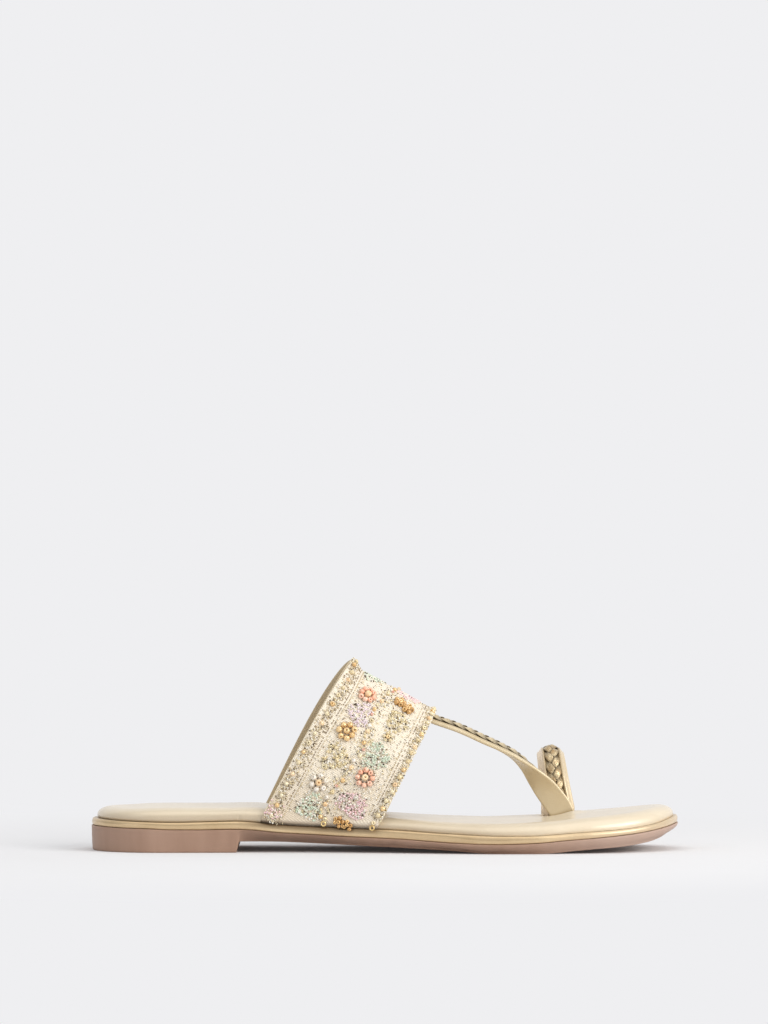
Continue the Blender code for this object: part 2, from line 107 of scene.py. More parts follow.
# The sole's layout, shared by its three layers and by all that stands on them
sole = {
    "length": 250.0,
    "heelRound": 30.0,
    "toeRound": 44.0,
    "roundPower": 2.15,
    "glueLine": 0.3,
    # x, middle line, half width
    "plan": [
        (0, 0, 29), (34, 0, 29.6), (62, -0.1, 28.8), (92, -0.5, 28.4), (124, -1, 32.4),
        (150, -1.1, 37.6), (172, -0.6, 41.2), (188, 0.6, 41.6), (206, 1.9, 39.6),
        (224, 3.2, 38.6), (250, 6, 38),
    ],
    # x, height of the moulded sole's top
    "side": [
        (0, 10.6), (26, 10.1), (56, 9.9), (64, 9.7), (82, 8.1), (104, 7.1), (130, 6.2),
        (150, 5.1), (172, 4.4), (186, 4.6), (206, 5.9), (225, 7.8), (239, 9.8), (250, 12),
    ],
    # x, height of the underside in front of the heel
    "arch": [
        (63.2, 4.7), (80, 4.45), (98, 3.65), (118, 2.7), (134, 2.0), (152, 1.1), (168, 0),
        (190, 0), (196, 0.25), (202, 0.8), (208, 1.35), (216, 1.9), (225, 2.5), (233.5, 3.4),
        (239, 4.2), (245, 5.5), (250, 7.2),
    ],
    # x, how far the sole's top and the rand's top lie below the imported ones, and how far the
    # footbed's top lies above
    "settle": [
        (0, 0, 0.2, 0), (6, 0, 0.35, -0.3), (14, 0.1, 0.5, -0.3), (24, 0.1, 0.65, 0.05),
        (34, 0.45, 0.75, 0.3), (44, 0.45, 0.6, 0.4), (56, 0.2, 0.25, 0.5), (64, 0, -0.05, 0.9),
        (74, -0.2, -0.15, 1.5), (92, -0.15, -0.1, 1.2), (108, 0.1, -0.1, 0.6),
        (120, 0.15, -0.1, 0.1), (140, 0.25, 0, -0.2), (157, 0.45, 0.1, -0.3),
        (174, 0.4, 0.35, -0.2), (190, 0.2, 0.5, 0), (200, 0, 0.5, 0.1), (212, 0.1, 0.75, 0.3),
        (225, 0.4, 1.25, 0.1), (238, 0.6, 1.45, 0), (245, 0.55, 1.0, 0), (250, 0.4, 0.4, 0),
    ],
    # x, how far the tread's edge lies inside the top edge
    "undercut": [
        (0, 0.5), (56, 0.6), (64, 1.2), (72, 3.2), (90, 4.2), (130, 4.6), (150, 4.6),
        (165, 4.3), (180, 3.1), (195, 2.2), (206, 1.9), (225, 2.1), (239, 3.0), (250, 4.4),
    ],
    # x, how dark the painted shade in the seams under and over the rand is there, and how deep
    # the rand's crease
    "seams": [
        (0, 0.9, 1, 1), (38, 1, 0.9, 1), (52, 1, 0.4, 1), (62, 0.9, 0.8, 1), (74, 0.25, 0.9, 1),
        (100, 0.15, 0.8, 1), (122, 0.3, 0.3, 1), (140, 0.3, 0.2, 1), (165, 0.1, 0.05, 0.9),
        (185, 0.12, 0, 0.6), (198, 0.2, 0, 0), (215, 0.6, 0, 0), (235, 0.7, 0, 0),
        (250, 0.7, 0.2, 0),
    ],
    # x, how dark the painted shade on the moulded side is there
    "shade": [
        (0, 0), (62.5, 0), (66.5, 0.42), (80, 0.45), (94, 0.46), (102, 0.3), (112, 0.14),
        (124, 0), (250, 0),
    ],
    # x, how much paler the sole and the rand are there by painted light, which grows towards the
    # toe
    "pale": [(0, 0, 0), (184, 0, 0), (205, 0.25, 0.2), (225, 0.5, 0.45), (250, 0.6, 0.55)],
    "heelFront": (62.1, 63.7),
    "edgeRound": 0.7,    # the round at the tread
    "lean": 0.1,    # how far the top of the side lies inside the outline
    "topRound": (0.5, 0.4),    # how far the round at the top goes in, and up
    "uneven": (0.12, 34, 3),    # the side's unevenness: its depth, length and seed
}


def endsRounded(x):
    # 1 along the sole, falling to 0 at the back of the heel and the tip of the toe.
    heel = np.clip((sole["heelRound"] - x) / sole["heelRound"], 0, 1)
    toe = np.clip((x - sole["length"] + sole["toeRound"]) / sole["toeRound"], 0, 1)
    power = sole["roundPower"]
    return (1 - np.maximum(heel, toe) ** power) ** (1 / power)


def edgeY(x, side):
    # The sole's edge: the middle line plus the rounded half width. side is -1 for the outer
    # edge and 1 for the inner one.
    middle, half = (readTable(sole["plan"], column, x) for column in (1, 2))
    return middle + side * half * endsRounded(x)


def soleTop(x):
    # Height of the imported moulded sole's top.
    return readTable(sole["side"], 1, x)


def underside(x):
    # 0 under the heel, then up the heel's front with a soft corner at its foot and its head.
    start, end = sole["heelFront"]
    front = eased((x - start) / (end - start)) * sole["arch"][0][1]
    return np.where(x < end, front, readTable(sole["arch"], 1, x))


soleStations = np.unique(np.concatenate([
    sole["heelRound"] * (1 - np.cos(np.linspace(0, np.pi / 2, 34))),
    np.linspace(sole["heelRound"], sole["length"] - sole["toeRound"], 110),
    np.linspace(*sole["heelFront"], 9),
    sole["length"] - sole["toeRound"] * (1 - np.cos(np.linspace(0, np.pi / 2, 44))),
]).round(6))
outerEdge = np.stack([soleStations, edgeY(soleStations, -1)], axis=1)
innerEdge = np.stack([soleStations, edgeY(soleStations, 1)], axis=1)[-2:0:-1]
soleOutline = np.concatenate([outerEdge, innerEdge])
outlineAhead = unit(np.roll(soleOutline, -1, axis=0) - np.roll(soleOutline, 1, axis=0))
outlineOut = np.stack([outlineAhead[:, 1], -outlineAhead[:, 0]], axis=1)

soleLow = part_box("sole_unit")[0]
layoutShift = np.array([soleLow.x * 1000, soleLow.y * 1000 - outerEdge[:, 1].min(), 0.0])


def toFrame(points):
    # The sole's box in the frame says where the layout's origin lies.
    return (points + layoutShift) / 1000


def aroundSole(table, column):
    # One column of a table, read at each point of the sole's outline.
    return readTable(table, column, soleOutline[:, 0])


def drawnIn(insets):
    # Outlines drawn in along their own normals, one for each inset: rings x points x (x, y).
    return soleOutline[None] - outlineOut[None] * insets[..., None]


# Meshes


def grid(points, loopRows=False, loopColumns=False):
    # A patch: a grid of points and its faces, joined end to end in either direction.
    rows, columns = points.shape[:2]
    i = np.arange(rows if loopRows else rows - 1)[:, None]
    j = np.arange(columns if loopColumns else columns - 1)[None]
    i, j = np.broadcast_arrays(i, j)
    nextI, nextJ = (i + 1) % rows, (j + 1) % columns
    corners = [i * columns + j, nextI * columns + j, nextI * columns + nextJ, i * columns + nextJ]
    return points.reshape(-1, 3), np.stack(corners, axis=-1).reshape(-1, 4)


def endDrawnIn(section):
    # Adds a ring drawn together at its middle to both ends of a carried section.
    first = section[:1].mean(axis=1, keepdims=True) + 0 * section[:1]
    last = section[-1:].mean(axis=1, keepdims=True) + 0 * section[-1:]
    return np.concatenate([first, section, last])


def endsRepeated(values):
    # What goes with the points of a carried section, repeated for the two rings added to it.
    return np.concatenate([values[:1], values, values[-1:]])


def acrossRing(ring, columns, dome=0.0, slope=1.0):
    # Fills a ring: each line joins a point to the one across from it. The filling rises to the
    # dome over the slope's length, in from the ends of its line and from the ends of the ring.
    number = np.arange(len(ring) // 2 + 1)
    share = np.linspace(0, 1, columns + 1)[None, :, None]
    points = ring[number][:, None] * (1 - share) + ring[-number][:, None] * share
    span = np.linalg.norm(ring[number] - ring[-number], axis=1)[:, None]
    across = span * np.minimum(share, 1 - share)[..., 0]
    x = points[..., 0]
    along = np.minimum(x - x.min(), x.max() - x)
    points[..., 2] += dome * eased(across / slope) * eased(along / slope)
    return grid(points)


def pieceOf(name, patches, finish, replaces=(), attributes=None, closeSeams=True):
    # One object from its patches, at the origin and riding on the root. Points that coincide
    # are merged, which closes seams and poles, and the faces then turn outwards.
    points = np.concatenate([patch[0] for patch in patches])
    starts = np.cumsum([0] + [len(patch[0]) for patch in patches[:-1]])
    faces = np.concatenate([patch[1] + start for patch, start in zip(patches, starts)])
    mesh = bpy.data.meshes.new(name)
    mesh.vertices.add(len(points))
    mesh.vertices.foreach_set("co", toFrame(points).ravel())
    mesh.loops.add(faces.size)
    mesh.loops.foreach_set("vertex_index", faces.ravel())
    mesh.polygons.add(len(faces))
    mesh.polygons.foreach_set("loop_start", np.arange(0, faces.size, faces.shape[1]))
    mesh.update(calc_edges=True)
    for key, values in (attributes or {}).items():
        kind = "FLOAT" if values.ndim == 1 else "FLOAT_VECTOR"
        layer = mesh.attributes.new(key, kind, "POINT")
        layer.data.foreach_set("value" if values.ndim == 1 else "vector", values.ravel())
    if closeSeams:
        shape = bmesh.new()
        shape.from_mesh(mesh)
        bmesh.ops.remove_doubles(shape, verts=shape.verts, dist=2e-6)
        bmesh.ops.recalc_face_normals(shape, faces=shape.faces)
        shape.to_mesh(mesh)
        shape.free()
    mesh.shade_smooth()
    mesh.materials.append(finish)
    made = bpy.data.objects.new(name, mesh)
    bpy.context.scene.collection.objects.link(made)
    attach(made, "root")
    if replaces:
        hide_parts(*replaces)
    triangles = sum(len(face.vertices) - 2 for face in mesh.polygons)
    print(f"{name}: {triangles} triangles")
    return made


# Finishes


def paint(red, green, blue):
    # A colour read off a screen, 0 to 255, as the linear colour that shaders use.
    screen = np.array([red, green, blue]) / 255
    linear = np.where(screen <= 0.04045, screen / 12.92, ((screen + 0.055) / 1.055) ** 2.4)
    return (*[float(part) for part in linear], 1.0)


class Wired:
    # A socket in an expression: + - * and / add Math nodes to its finish.
    def __init__(self, finish, socket):
        self.finish, self.socket = finish, socket

    def maths(self, operation, first, second=0.0):
        return self.finish.node("ShaderNodeMath", {"operation": operation}, {0: first, 1: second})

    def __add__(self, other):
        return self.maths("ADD", self, other)

    def __sub__(self, other):
        return self.maths("SUBTRACT", self, other)

    def __rsub__(self, other):
        return self.maths("SUBTRACT", other, self)

    def __mul__(self, other):
        return self.maths("MULTIPLY", self, other)

    def __truediv__(self, other):
        return self.maths("DIVIDE", self, other)

    def __rtruediv__(self, other):
        return self.maths("DIVIDE", other, self)

    __radd__, __rmul__ = __add__, __mul__

    def wave(self):
        # A sine brought to the range from 0 to 1.
        return self.maths("SINE", self) * 0.5 + 0.5

    def clipped(self):
        # Kept between 0 and 1.
        return self.finish.node(
            "ShaderNodeMath", {"operation": "ADD", "use_clamp": True}, {0: self, 1: 0.0}
        )


class Finish:
    # A material, made by linking nodes to its shader, with the colours of its look by name.
    def __init__(self, name, look, **fixed):
        self.look = look
        self.material = bpy.data.materials.new(name)
        self.material.use_nodes = True
        self.tree = self.material.node_tree
        self.shader = self.tree.nodes["Principled BSDF"]
        self.place = self.node("ShaderNodeTexCoord", output="Object")
        for socket, value in fixed.items():
            self.set(socket, value)

    def node(self, kind, settings=None, inputs=None, output=0):
        # Any node: its settings first, then the values or links of its sockets.
        made = self.tree.nodes.new(kind)
        for key, value in (settings or {}).items():
            setattr(made, key, value)
        for key, value in (inputs or {}).items():
            self.feed(made.inputs[key], value)
        return Wired(self, made.outputs[output])

    def feed(self, socket, value):
        if isinstance(value, Wired):
            self.tree.links.new(value.socket, socket)
        else:
            socket.default_value = value

    def set(self, socket, value):
        # A fixed value stands on the shader's own socket; a varying one is linked to it.
        self.feed(self.shader.inputs[socket.replace("_", " ")], value)

    def noise(self, size, detail=4.0, roughness=0.55, where=None):
        # Cloudy noise from 0 to 1, with features of about size millimetres.
        sockets = {"Vector": where or self.place, "Scale": 1000 / size, "Detail": detail}
        return self.node("ShaderNodeTexNoise", None, {**sockets, "Roughness": roughness})

    def cells(self, size):
        # Distance to the edge of irregular cells of about size millimetres.
        settings = {"feature": "DISTANCE_TO_EDGE"}
        sockets = {"Vector": self.place, "Scale": 1000 / size}
        return self.node("ShaderNodeTexVoronoi", settings, sockets, "Distance")

    def mix(self, factor, *colours):
        # Two colours, mixed by a factor. A name is a colour of the look.
        first, second = (
            paint(*self.look[colour]) if isinstance(colour, str) else colour for colour in colours
        )
        sockets = {0: factor, 6: first, 7: second}
        return self.node("ShaderNodeMix", {"data_type": "RGBA"}, sockets, 2)

    def attribute(self, name, output="Fac"):
        return self.node("ShaderNodeAttribute", {"attribute_name": name}, None, output)

    def bump(self, height, depth):
        # Relief: height 1 stands depth millimetres above height 0.
        sockets = {"Height": height, "Distance": depth / 1000, "Strength": 1.0}
        self.set("Normal", self.node("ShaderNodeBump", None, sockets))


def leatherFinish(name, look):
    # Leather: a light and a dark tone in soft patches, darker by painted shade and paler by
    # painted light where the attributes say, pebbled grain with fine pores, uneven gloss and a
    # thin clear coat.
    finish = Finish(name, look, Metallic=look["metallic"], Specular_IOR_Level=0.5)
    patches = finish.noise(look["patch"], detail=3)
    fine = finish.noise(0.35, detail=5, roughness=0.65)
    grain = (finish.cells(look["grain"]) * 2.6).clipped()
    colour = finish.mix((patches * 2.2 - 0.6).clipped(), "light", "dark")
    colour = finish.mix((fine - 0.35) * look["mottle"], colour, "deep")
    if "pale" in look:
        colour = finish.mix(finish.attribute("pale"), colour, "pale")
    finish.set("Base_Color", finish.mix(finish.attribute("shade"), colour, "deep"))
    low, high = look["roughness"]
    finish.set("Roughness", (patches * 0.6 + fine * 0.4) * (high - low) + low)
    finish.set("Coat_Weight", look["coat"])
    finish.set("Coat_Roughness", look.get("coatRoughness", 0.25))
    finish.bump(grain * 0.7 + fine * 0.5, look["relief"])
    return finish.material


def mouldedFinish(name, look):
    # Moulded sole: two close tones in streaks drawn out up and down, a faint bloom, and a
    # satin surface with fine pitting. The pale attribute paints light on it and the shade
    # attribute paints shade.
    finish = Finish(name, look, Metallic=0.0, Specular_IOR_Level=0.45)
    sockets = {"Vector": finish.place, "Scale": (1, 1, 0.15)}
    stretched = finish.node("ShaderNodeMapping", {"vector_type": "POINT"}, sockets)
    streaks = finish.noise(9, detail=3, where=stretched)
    bloom = finish.noise(24, detail=5)
    pits = finish.noise(0.5, detail=4)
    colour = finish.mix((streaks * 2 - 0.5).clipped(), "light", "dark")
    colour = finish.mix((bloom * 2 - 0.8).clipped() * 0.3, colour, "bloom")
    colour = finish.mix(finish.attribute("pale"), colour, "pale")
    finish.set("Base_Color", finish.mix(finish.attribute("shade"), colour, "deep"))
    finish.set("Roughness", streaks * 0.12 + pits * 0.1 + look["roughness"])
    finish.bump(pits, 0.05)
    return finish.material


def clothFinish(name, look):
    # Ribbed cloth: ribs across the band and finer threads along it, worked out from each
    # point's millimetres across and along, with uneven dye, painted shade in the valleys of the
    # ribs and a soft sheen. The weave's third part rises to 1 towards the feet, where painted
    # shade darkens the cloth, and to 2 in the fold, where painted shade darkens it more.
    finish = Finish(name, look, Metallic=0.0, Specular_IOR_Level=0.25, Sheen_Weight=0.3)
    parts = finish.node("ShaderNodeSeparateXYZ", None, {0: finish.attribute("weave", "Vector")})
    across, along, foot = (Wired(finish, parts.socket.node.outputs[key]) for key in "XYZ")
    uneven = finish.noise(2.2, detail=4)
    ribs = (along * (2 * np.pi / look["rib"]) + uneven * 2.4).wave()
    threads = (across * (2 * np.pi / look["thread"]) + uneven * 1.6).wave()
    dye = finish.noise(7, detail=3)
    colour = finish.mix((dye * 2 - 0.5).clipped(), "light", "dark")
    colour = finish.mix(foot.clipped(), colour, "foot")
    valley = (1 - ribs) * (threads * 0.4 + 0.6)
    colour = finish.mix(valley * look["contrast"], colour, "deep")
    finish.set("Base_Color", finish.mix((foot - 1).clipped(), colour, "fold"))
    finish.set("Roughness", dye * 0.15 + 0.75)
    finish.bump(ribs * 0.7 + threads * 0.3, look["relief"])
    return finish.material


def liningFinish(name, look):
    # Split leather: a napped surface in two tones, rubbed darker in places, with the paler
    # turned rim along both edges, up to rimWide millimetres from them.
    finish = Finish(name, look, Metallic=0.0, Specular_IOR_Level=0.2, Sheen_Weight=0.2)
    nap = finish.noise(0.9, detail=6, roughness=0.7)
    rubbed = finish.noise(11, detail=3)
    colour = finish.mix((rubbed * 2 - 0.9).clipped(), finish.mix(nap, "light", "dark"), "deep")
    inside = ((finish.attribute("fromEdge") - look["rimWide"]) * 4 + nap).clipped()
    finish.set("Base_Color", finish.mix(inside, "rim", colour))
    finish.set("Roughness", nap * 0.15 + 0.75)
    finish.bump(nap, 0.12)
    return finish.material


def beadFinish(name, light, dark, deep, metallic, roughness):
    # Beads: each takes its own place between two tones from its tone attribute, with fine
    # flaws in the glaze, gloss that differs from bead to bead and a clear coat.
    finish = Finish(
        name, {"light": light, "dark": dark, "deep": deep}, Metallic=metallic,
        Specular_IOR_Level=0.6, Coat_Weight=0.6, Coat_Roughness=0.06,
    )
    tone = finish.attribute("tone")
    flaws = finish.noise(0.5, detail=3)
    colour = finish.mix(tone, "light", "dark")
    finish.set("Base_Color", finish.mix((flaws - 0.4).clipped() * 0.8, colour, "deep"))
    finish.set("Roughness", tone * 0.12 + flaws * 0.1 + roughness)
    finish.bump(flaws, 0.03)
    return finish.material


def threadFinish(name, look):
    # Embroidery thread: two tones from stitch to stitch, fine fibres and a silky shine.
    finish = Finish(name, look, Metallic=0.0, Specular_IOR_Level=0.5, Sheen_Weight=0.4)
    fibres = finish.noise(0.22, detail=3)
    colour = finish.mix(finish.attribute("tone"), "light", "dark")
    finish.set("Base_Color", finish.mix(fibres * 0.35, colour, "deep"))
    finish.set("Roughness", fibres * 0.2 + 0.4)
    finish.bump(fibres, 0.06)
    return finish.material


# The band's middle surface and the straps' lines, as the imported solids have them

band = {
    # x of the outer and inner corner, how far each half bows back, and the crown's x, y, z
    "back": (71.7, 71.0, 1.9, 3.65, 110.8, 4.6, 76.8),
    "front": (122.2, 121.6, 0.3, 1.2, 146.0, 5.0, 57.8),
    "cornerInset": 1.4,
    "cornerLift": 0.85,
    "bend": 2.2,
    "tab": 5.0,
    "flare": 4.0,
    "flareShare": 0.16,
    "archPower": 0.94,
    "bowPowers": (1.35, 0.55),
    "hem": (0.9, 6.0),    # how far the cloth stands out at its feet, and over what length
    "belly": 1.8,
    "footShade": (19, 0.85),    # how far up the painted shade at the feet reaches, and how much less of it in front
    "fold": 3.5,    # over how many places below the foot the painted shade in the fold darkens
    "weaveWidth": 46.0,    # of the woven cloth, from the back edge to the front edge
    "shares": 73,
    "places": 321,
    "bendPlaces": 14,
}
rand = {
    "thick": 3.1,
    "bulge": 1.2,
    "inset": 0.3,
    "gap": 0.08,
    "crease": (0.3, 0.16, 0.12),    # its turn, width and depth
    "shadowUnderBand": (0.85, 95, 29),    # the painted shadow of the band on its upper part: how dark, middle x, reach
}
footbed = {
    "thick": 4.7,
    # x, how far its side lies inside the sole's edge, at what height, how far it is tucked in
    # below that, and how dark the painted shade on its side is there
    "edge": [
        (0, 2.4, 1.1, 0.8, 0.2), (20, 1.7, 1.7, 1.0, 0.3), (50, 1.3, 1.9, 1.1, 0.34),
        (70, 1.4, 1.9, 1.1, 0.34), (120, 2.0, 1.4, 0.7, 0.42), (145, 2.4, 0.8, 0.2, 0.42),
        (174, 2.45, 0.7, 0.15, 0.26), (192, 2.5, 0.65, 0.1, 0.12), (206, 2.5, 0.6, 0.1, 0.04),
        (250, 2.4, 0.7, 0.1, 0.04),
    ],
    "roll": 7.4,
    "dome": 0.6,
    "pucker": 0.1,
    # beside the straps: height, x, y, half length and half width
    "dip": (-0.7, 199.6, 7.8, 10.5, 6.5),
    "swelling": (1.5, 205.5, 2.0, 6.0, 6.0),
}


def randTop(x):
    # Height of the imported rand's top, which lies on the sole's by its glue and thickness.
    return soleTop(x) + sole["glueLine"] + rand["thick"]


def footbedTop(x):
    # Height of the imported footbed's top, which lies on the rand's in the same way.
    return randTop(x) + sole["glueLine"] + footbed["thick"]


def shownTop(layer, x):
    # The top of a layer as it is shown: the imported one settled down, or the footbed's up.
    column, top, way = {
        "sole": (1, soleTop, -1), "rand": (2, randTop, -1), "footbed": (3, footbedTop, 1),
    }[layer]
    return top(x) + way * readTable(sole["settle"], column, x)


def bandHalf(line, side, turns):
    # Half of each line of the band, from its corner at turn 0 up to its crown at a quarter
    # turn: the foot under the crown + cos(turn)^power to the corner + sin(turn)^power to the
    # crown, pushed back by the bow, a power of the rise times a power of what is left of it.
    bow = line[:, 2 if side < 0 else 3]
    corners = {}
    for way, x in ((-1, line[:, 0]), (1, line[:, 1])):
        height = randTop(x) + band["cornerLift"]
        corners[way] = np.stack([x, edgeY(x, way) - way * band["cornerInset"], height], axis=1)
    crown = line[:, 4:7]
    split = (crown[:, 1] - corners[-1][:, 1]) / (corners[1][:, 1] - corners[-1][:, 1])
    foot = corners[-1] * (1 - split)[:, None] + corners[1] * split[:, None]
    corner = corners[side]
    start = np.arcsin(band["bend"] / np.linalg.norm(crown - foot, axis=1))
    turn = start[:, None] + (np.pi / 2 - start[:, None]) * turns
    rise = np.sin(turn) ** band["archPower"]
    reach = np.cos(turn).clip(0) ** band["archPower"]
    arch = foot[:, None] + (corner - foot)[:, None] * reach[..., None]
    arch = arch + (crown - foot)[:, None] * rise[..., None]
    first, last = band["bowPowers"]
    bulge = rise**first * (1 - rise).clip(0) ** last
    arch[..., 0] -= bow[:, None] * bulge / bulge.max()
    return arch, corner


def evenly(lines, count):
    # Each line of a grid resampled at even steps of its own length, and those lengths.
    runs = [runAlong(line) for line in lines]
    even = [readLine(np.linspace(0, run[-1], count), run, line) for run, line in zip(runs, lines)]
    return np.stack(even), np.array([run[-1] for run in runs])


def bandGrid():
    # Lines from the outer corner over the crown to the inner one, at even steps, for shares of
    # the way from the back edge to the front edge, with a soft belly on both sides.
    share = np.linspace(0, 1, band["shares"])
    back, front = (np.array(band[edge], float) for edge in ("back", "front"))
    line = back + (front - back) * share[:, None]
    line[:, 6] += band["flare"] * (1 - share / band["flareShare"]).clip(0) ** 2
    turns = np.linspace(0, 1, 260) ** 1.25
    outer, outerCorner = bandHalf(line, -1, turns)
    inner, innerCorner = bandHalf(line, 1, turns)
    belly = band["belly"] * 4 * (share * (1 - share))[:, None] * np.sin(np.pi * turns**0.7) ** 2
    outer[..., 1] -= belly
    inner[..., 1] += belly
    arch, lengths = evenly(np.concatenate([outer, inner[:, -2::-1]], axis=1), band["places"])
    return arch, lengths, outerCorner, innerCorner


strap = {
    # x, y, z of the middle line, its turn towards the inner side in degrees, width
    "line": [
        (131.5, 5, 61, 0, 8.8), (145.6, 5, 54.8, 0, 9.2), (155, 5, 51.5, 0, 9.8),
        (165.4, 4.9, 46.8, 0, 10), (174.3, 4.8, 42.6, 2, 10), (180.1, 4.7, 39.3, 8, 10),
        (184.8, 4.7, 35.3, 21, 10.1), (189.9, 4.8, 29.7, 48, 10.3), (195.6, 5.1, 22.5, 80, 10.5),
        (200.2, 5.3, 15.7, 90, 10.6), (201.6, 5.3, 11.3, 90, 10.6),
    ],
    "thick": 1.6,
    "crown": (1.4, 0.0),    # how far its edges bend down, at its first end and at its last
    "roll": (0.3, 0.55, 0.5),    # of the turned edges: height, distance in from the edge, width
    "contactShadow": 0.72,    # how dark the painted contact shadow is where it meets the pad
    "pale": (0.0, 0.0),    # how much paler it is beside the plait by painted light, on either side
    # the plait's strands are paler by painted light
    "plait": {"first": 0.14, "last": 0.93, "rise": 0.3, "thick": 0.42, "pale": 0.75},
    "stations": 220,
}
loop = {
    "footX": 199.2,
    "slotY": 10.3,
    "slotDeep": 3.2,
    "topZ": 40.5,
    "inset": 2.8,
    "lean": 3.2,
    "springZ": 17.0,
    "widthTop": 11.7,
    "widthFoot": 13.6,
    "thick": 1.7,
    "crown": (1.0, 1.0),
    # how dark the painted contact shadow is where it meets the pad
    "roll": (1.35, 1.4, 1.05),
    "contactShadow": 0.4,
    # how much paler its borders are by painted light, behind and in front
    "pale": (0.95, 0.25),
    "plait": {"first": 0.03, "last": 0.86},
    "bend": 2.4,
    "tab": 7.0,
    "stations": 200,
}


def ribbonFrames(line, across, turn=0.0):
    # Directions across and out of a ribbon: the given direction squared to the line, and the
    # third one, both swung round the line by turn degrees.
    ahead = unit(np.gradient(line, axis=0))
    across = unit(across - ahead * (ahead @ across)[:, None])
    out = np.cross(ahead, across)
    swing = np.radians(np.broadcast_to(turn, len(line)))[:, None]
    swung = across * np.cos(swing) - out * np.sin(swing)
    return swung, across * np.sin(swing) + out * np.cos(swing)


def strapRibbon():
    # A smooth curve through the rows of its table, at even steps along them.
    rows = np.array(strap["line"], float)
    run = runAlong(rows[:, :3])
    at = np.linspace(0, run[-1], strap["stations"])
    smooth = np.stack([through(run, rows[:, k], at) for k in range(5)], axis=1)
    across, out = ribbonFrames(smooth[:, :3], np.array([0.0, 1.0, 0.0]), smooth[:, 3])
    return smooth[:, :3], across, out, smooth[:, 4]


def loopRibbon():
    # Up from the slot between the toes, over half an ellipse that leans back, down to the
    # sole's inner edge and in under the footbed by a quarter circle.
    x, near = loop["footX"], loop["slotY"]
    far = edgeY(x, 1) - loop["inset"]
    middle, reach = (near + far) / 2, (far - near) / 2
    bottom = footbedTop(x) - loop["slotDeep"]
    tabZ = randTop(x + loop["widthFoot"] / 2) + sole["glueLine"] + loop["thick"] / 2
    turn = np.linspace(0, np.pi, 61)
    rise = loop["topZ"] - loop["springZ"]
    arch = np.stack([
        x - loop["lean"] * np.sin(turn),
        middle - reach * np.cos(turn),
        loop["springZ"] + rise * np.sin(turn),
    ], axis=1)
    bend = loop["bend"]
    quarter = np.linspace(0, np.pi / 2, 9)
    corner = np.stack([
        np.full(9, x),
        far - bend * (1 - np.cos(quarter)),
        tabZ + bend * (1 - np.sin(quarter)),
    ], axis=1)
    line = np.concatenate([[(x, near, bottom)], arch, corner, [(x, far - loop["tab"], tabZ)]])
    line = evenly(line[None], loop["stations"])[0][0]
    across, out = ribbonFrames(line, np.array([-1.0, 0.0, 0.0]))
    low = ((loop["topZ"] - line[:, 2]) / rise).clip(0, 1) ** 2
    return line, across, out, loop["widthTop"] + (loop["widthFoot"] - loop["widthTop"]) * low


# The sole's three layers


def withCaps(shade, caps, value=0.0):
    # The shade of a piece's rings, then one value for the points of its caps.
    return np.concatenate([shade.ravel()] + [np.full(len(cap[0]), value) for cap in caps])


def paleAt(patches, column):
    # How much paler each point of the patches is by painted light, by the sole's table.
    return np.concatenate([readTable(sole["pale"], column, patch[0][:, 0]) for patch in patches])


soleLook = {
    "light": (168, 136, 116),
    "dark": (152, 120, 100),
    "bloom": (182, 154, 138),
    # pale is the colour of the painted light towards the toe, deep that of the painted shade
    "pale": (198, 174, 160),
    "deep": (92, 66, 50),
    "roughness": 0.36,
}


def makeSole():
    # Outlines from the tread's edge up: a quarter round at the tread, a side that leans out to
    # the top edge, and a small round there.
    under = aroundSole(sole["undercut"], 1)
    low = np.linspace(0, np.pi / 2, 5)[:, None]
    radius = sole["edgeRound"]
    footInsets = under + radius * (1 - np.sin(low))
    footMoved = drawnIn(footInsets)
    footHeights = underside(soleOutline[:, 0])[None] + radius * (1 - np.cos(low))
    side = np.linspace(0, 1, 9)[1:, None]
    lean, (roundIn, roundUp) = sole["lean"], sole["topRound"]
    sideMoved = drawnIn(under * (1 - side) ** 2 + lean * side)
    sideTop = shownTop("sole", sideMoved[..., 0]) - roundUp
    sideHeights = footHeights[-1] * (1 - side) + sideTop * side
    high = np.linspace(0, np.pi / 2, 5)[1:, None]
    topMoved = drawnIn(lean + roundIn * (1 - np.cos(high)) + 0 * under)
    topHeights = shownTop("sole", topMoved[..., 0]) - roundUp * (1 - np.sin(high))
    moved = np.concatenate([footMoved, sideMoved, topMoved])
    heights = np.concatenate([footHeights, sideHeights, topHeights])
    rings = np.dstack([moved, heights])
    depth, length, seed = sole["uneven"]
    sideRows = slice(len(footMoved), len(footMoved) + len(side) - 1)
    uneven = depth * ripples(rings[sideRows], length, seed)
    rings[sideRows, :, :2] += outlineOut * uneven[..., None]
    # Painted shade: the side darkens where the shade table says, and the top round at the seam
    # under the rand where the seams table says. Painted light makes the sole paler towards the toe.
    shade = np.tile(aroundSole(sole["shade"], 1).clip(0), (len(rings), 1))
    seamShade = np.array([0.25, 0.8])[:, None] * aroundSole(sole["seams"], 1)
    shade[-2:] = np.maximum(shade[-2:], seamShade)
    caps = [acrossRing(rings[0], 18), acrossRing(rings[-1], 2)]
    patches = [grid(rings, loopColumns=True)] + caps
    pieceOf(
        "soleUnit", patches, mouldedFinish("moulded rose taupe", soleLook),
        ["sole_unit"], {"shade": withCaps(shade, caps), "pale": paleAt(patches, 1)},
    )


makeSole()

randLook = {
    "light": (228, 202, 160),
    "dark": (210, 182, 140),
    # pale is the colour of the painted light towards the toe, deep that of the painted shade and of
    # the mottling
    "pale": (228, 209, 180),
    "deep": (96, 72, 44),
    "patch": 16,
    "mottle": 0.4,
    "grain": 0.8,
    "relief": 0.04,
    "metallic": 0.48,
    "roughness": (0.31, 0.42),
    "coat": 0.35,
}


